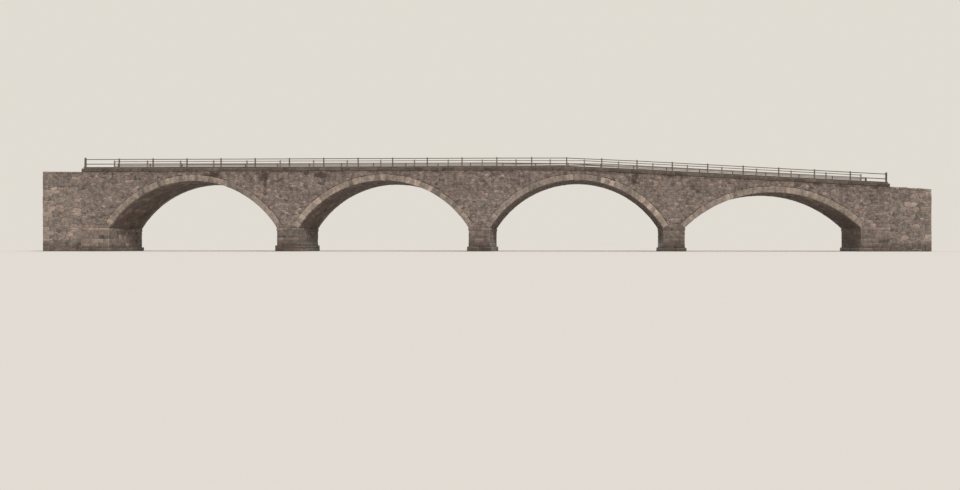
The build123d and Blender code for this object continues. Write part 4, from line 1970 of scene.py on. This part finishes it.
@dataclass
class Deck(Part):
    """The gravel roadway and the flagged footway with its kerb."""

    along_step: float = 0.03
    across_steps: int = 36
    camber: float = 0.004
    rut_depth: float = 0.0022
    rut_width: float = 0.016
    bed: float = 0.0012
    grit: Pair = (-0.0005, 0.0007)
    pebbles: int = 5200
    pebble_size: Pair = (0.0014, 0.0042)
    pebble_sides: int = 5
    pebble_reach: Pair = (0.7, 1.1)
    pebble_peak: Pair = (0.25, 0.5)
    pebble_width: float = 0.8
    pebble_stray: float = 0.2
    pebble_foot: float = 0.3
    pebble_lift: float = 0.15
    verge: float = 0.03
    swept: float = 0.014
    margin: float = 0.005
    end_margin: float = 0.006
    kerb_margin: float = 0.004
    smooth_under: float = 50.0
    kerb_width: float = 0.016
    kerb_length: Pair = (0.09, 0.15)
    kerb_joint: float = 0.0006
    kerb_proud: Pair = (0.0015, 0.0018)

    def build(self) -> None:
        """Lays both surfaces."""
        self.roadway()
        self.footway()

    def roadway(self) -> None:
        """Lays the gravel, a little hollow under the wheels, over its solid."""
        piece = Piece("roadway_gravel")
        columns = round(2 * HALF_LENGTH / self.along_step)
        rows = []
        for column in range(columns + 1):
            x = -HALF_LENGTH + 2 * HALF_LENGTH * column / columns
            y0 = -INNER if abs(x) > ABUTMENT_X else FOOTWAY_EDGE
            ys = [y0 + (INNER - y0) * step / self.across_steps for step in range(self.across_steps + 1)]
            level = wall_top(x) + ROAD_LEVEL
            row = [Vector((x, y, level + self.relief(x, y, piece.rng))) for y in ys]
            rows.append(piece.add_points(row, (0.5, 0.5), OPEN_FACE))
        for first, second in pairwise(rows):
            for here in range(self.across_steps):
                piece.add_face((first[here], second[here], second[here + 1], first[here + 1]))
        self.scatter(piece)
        piece.finish(self.made_of("gravel", "flags"), "gravel", smooth_under=self.smooth_under)
        self.paint("roadway", "gravel")
        self.paint("spandrel_fill", "earth")

    def relief(self, x: float, y: float, rng: Random) -> float:
        """Works out the height of the gravel over its solid: camber, two ruts and grit.

        Args:
            x: A place along the bridge.
            y: A place across it.
            rng: Source of the unevenness.

        Returns:
            The height.
        """
        middle, half = (FOOTWAY_EDGE + INNER) / 2, (INNER - FOOTWAY_EDGE) / 2
        share = min(1.0, abs(y - middle) / half)
        height = self.bed + self.camber * (1 - share**2)
        for rut in TRACKS:
            depth = self.rut_depth * (0.8 + 0.2 * math.sin(3 * x + rut * 9))
            height -= depth * math.exp(-(((y - rut) / self.rut_width) ** 2))
        return height + rng.uniform(*self.grit)

    def scatter(self, piece: Piece) -> None:
        """Strews loose stones over the gravel, thickest along its edges and between the tracks.

        Args:
            piece: Gets the stones.
        """
        rng = piece.rng
        for _ in range(self.pebbles):
            x = rng.uniform(-1, 1) * (HALF_LENGTH - self.end_margin)
            y0 = -INNER if abs(x) > ABUTMENT_X + self.kerb_margin else FOOTWAY_EDGE
            near, far = y0 + abs(rng.gauss(0, self.verge)), INNER - abs(rng.gauss(0, self.verge))
            y = rng.choice((near, far, rng.uniform(y0, INNER)))
            y = min(max(y, y0 + self.margin), INNER - self.margin)
            if min(abs(y - track) for track in TRACKS) >= self.swept:
                size = rng.uniform(*self.pebble_size)
                level = wall_top(x) + ROAD_LEVEL + self.relief(x, y, rng) + size * self.pebble_lift
                self.pebble(piece, (x, y, level), size)

    def pebble(self, piece: Piece, middle: Values, size: float) -> None:
        """Adds one loose stone.

        Args:
            piece: Gets the stone.
            middle: Its middle.
            size: About half of its length.
        """
        rng = piece.rng
        x, y, z = middle
        turn = rng.uniform(0, math.pi)
        points = []
        for corner in range(self.pebble_sides):
            angle = turn + 2 * math.pi * corner / self.pebble_sides
            reach = size * rng.uniform(*self.pebble_reach)
            u, v = x + reach * math.cos(angle), y + self.pebble_width * reach * math.sin(angle)
            points.append(Vector((u, v, z - size * self.pebble_foot)))
        stray = rng.uniform(-self.pebble_stray, self.pebble_stray)
        points.append(Vector((x + size * stray, y, z + size * rng.uniform(*self.pebble_peak))))
        *ring, peak = piece.add_points(points, piece.draw_stone(), OPEN_FACE)
        piece.add_fan(ring, peak, Layer.SECOND)

    def footway(self) -> None:
        """Lays the flags and the kerb on the footway's solid."""
        piece = Piece("footway_flags")
        top = ROAD_LEVEL + FOOTWAY_HEIGHT

        def place(u: float, v: float, w: float) -> Vector:
            """Along the footway, across it and up from it."""
            return on_deck(u, v, top + w)

        inner = FOOTWAY_EDGE - self.kerb_width
        for start, end in piece.runs(-ABUTMENT_X, 2 * ABUTMENT_X, FLAGS.height):
            for low, high in piece.runs(-INNER, inner + INNER, FLAGS.length):
                piece.pad(rectangle(start, low, end, high), place, FLAGS)
        for start, end in piece.runs(-ABUTMENT_X, 2 * ABUTMENT_X, self.kerb_length):
            low = (start + self.kerb_joint, inner, ROAD_LEVEL)
            high = (end - self.kerb_joint, FOOTWAY_EDGE + self.kerb_proud[0], top + self.kerb_proud[1])
            piece.block(low, high, on_deck, SLABS)
        piece.finish(self.made_of("flags"), "gravel")
        self.paint("footway", "mortar")


def railings(materials: dict[str, Material]) -> Iterator[Railing]:
    """Sets out the two railings, and the fence between footway and carriageway.

    Args:
        materials: The bridge's materials.

    Yields:
        Each of the three.
    """
    bay = 2 * RAIL_END / BAYS
    places = [-RAIL_END + bay * place for place in range(BAYS + 1)]
    foot = COPING_HEIGHT + SILL_HEIGHT
    for side in Side:
        name, y = f"{side.label}_railing", side.value * POST_Y
        yield Railing(materials, name, y, -side.value, places, foot, sill=f"{side.label}_sill")
    between = [x + bay / 2 for x in places[:-1]]
    foot = ROAD_LEVEL + FOOTWAY_HEIGHT
    yield Railing(materials, "footway_fence", FOOTWAY_EDGE - POST, 1, between, foot, finish="fence_")


# Picture


@dataclass(frozen=True)
class Studio:
    """Floor, light and camera, the camera where the bridge was seen from."""

    floor_half: float = 90.0
    floor_colour: Colour = (0.76, 0.73, 0.69)
    eye: tuple[float, float, float] = (1.01, -11.0, 0.06)
    turned: float = 2.6
    lens: float = 42.6
    sensor: float = 36.0
    shift: float = -0.058
    sight: float = 400.0
    background: Colour = (0.753, 0.716, 0.651)
    fill: float = 0.55
    fill_colour: Colour = (1.0, 0.985, 0.96)
    sun: float = 2.3
    sun_colour: Colour = (1.0, 0.975, 0.94)
    sun_from: tuple[float, float, float] = (0.62, -0.8, 0.78)
    sun_softness: float = 9.0

    def build(self) -> None:
        """Sets the whole studio up."""
        bpy.context.scene.view_settings.view_transform = "Standard"
        self.lay_floor()
        self.light()
        self.point_camera()

    def lay_floor(self) -> None:
        """Lays a plain pale floor."""
        mesh = bpy.data.meshes.new("floor")
        half = self.floor_half
        corners = [(x, y, 0) for x, y in rectangle(-half, -half, half, half)]
        mesh.from_pydata(corners, [], [(0, 1, 2, 3)])
        floor = put_in_scene("floor", mesh)
        floor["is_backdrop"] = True
        material = bpy.data.materials.new("floor")
        material.use_nodes = True
        inputs = material.node_tree.nodes["Principled BSDF"].inputs
        inputs["Base Color"].default_value = (*self.floor_colour, 1.0)
        inputs["Roughness"].default_value = 0.9
        inputs["Specular IOR Level"].default_value = 0.0
        mesh.materials.append(material)

    def light(self) -> None:
        """Lights the bridge with a soft key from the front right and an even light all round."""
        sun = bpy.data.lights.new("key", "SUN")
        sun.energy = self.sun
        sun.angle = math.radians(self.sun_softness)
        sun.color = self.sun_colour
        lamp = put_in_scene("key", sun)
        lamp.rotation_euler = Vector(self.sun_from).to_track_quat("Z", "Y").to_euler()
        world = bpy.data.worlds.new("studio")
        world.use_nodes = True
        bpy.context.scene.world = world
        graph = Graph(world.node_tree)
        world.node_tree.nodes.clear()
        seen = graph.add("Background", {"Color": self.background, "Strength": 1.0})
        lit = graph.add("Background", {"Color": self.fill_colour, "Strength": self.fill})
        rays = graph.add("LightPath").outputs
        mirrored = graph.larger(rays["Is Glossy Ray"], rays["Is Transmission Ray"])
        plain = graph.larger(rays["Is Camera Ray"], mirrored)
        shader = graph.add("MixShader", {0: plain, 1: lit.outputs[0], 2: seen.outputs[0]})
        graph.add("OutputWorld", {"Surface": shader.outputs[0]})

    def point_camera(self) -> None:
        """Puts the camera low and almost square on."""
        data = bpy.data.cameras.new("camera")
        data.sensor_width = self.sensor
        data.lens = self.lens
        data.shift_x = self.shift
        data.clip_end = self.sight
        camera = put_in_scene("camera", data)
        camera.location = self.eye
        camera.rotation_euler = (math.radians(90), 0.0, math.radians(self.turned))
        bpy.context.scene.camera = camera


def write_sizes() -> None:
    """Writes the solids' box and the dressed bridge's box, to compare."""
    boxes = {"solids": solids_box, "dressed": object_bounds()}
    plain = {name: [[float(part) for part in corner] for corner in box] for name, box in boxes.items()}
    log.info("sizes: %s", plain)


def main() -> None:
    """Builds the studio, then the bridge's parts in order."""
    logging.basicConfig(level=logging.INFO, format="%(name)s: %(message)s")
    Studio().build()
    effects = Effects()
    materials = {name: finish.build(effects) for name, finish in FINISHES.items()}
    masonry = [kind(materials) for kind in (Spandrels, Rings, Supports, Wings, Coping)]
    for part in (*masonry, *railings(materials), Deck(materials)):
        part.build()
    write_sizes()


if __name__ == "__main__":
    main()
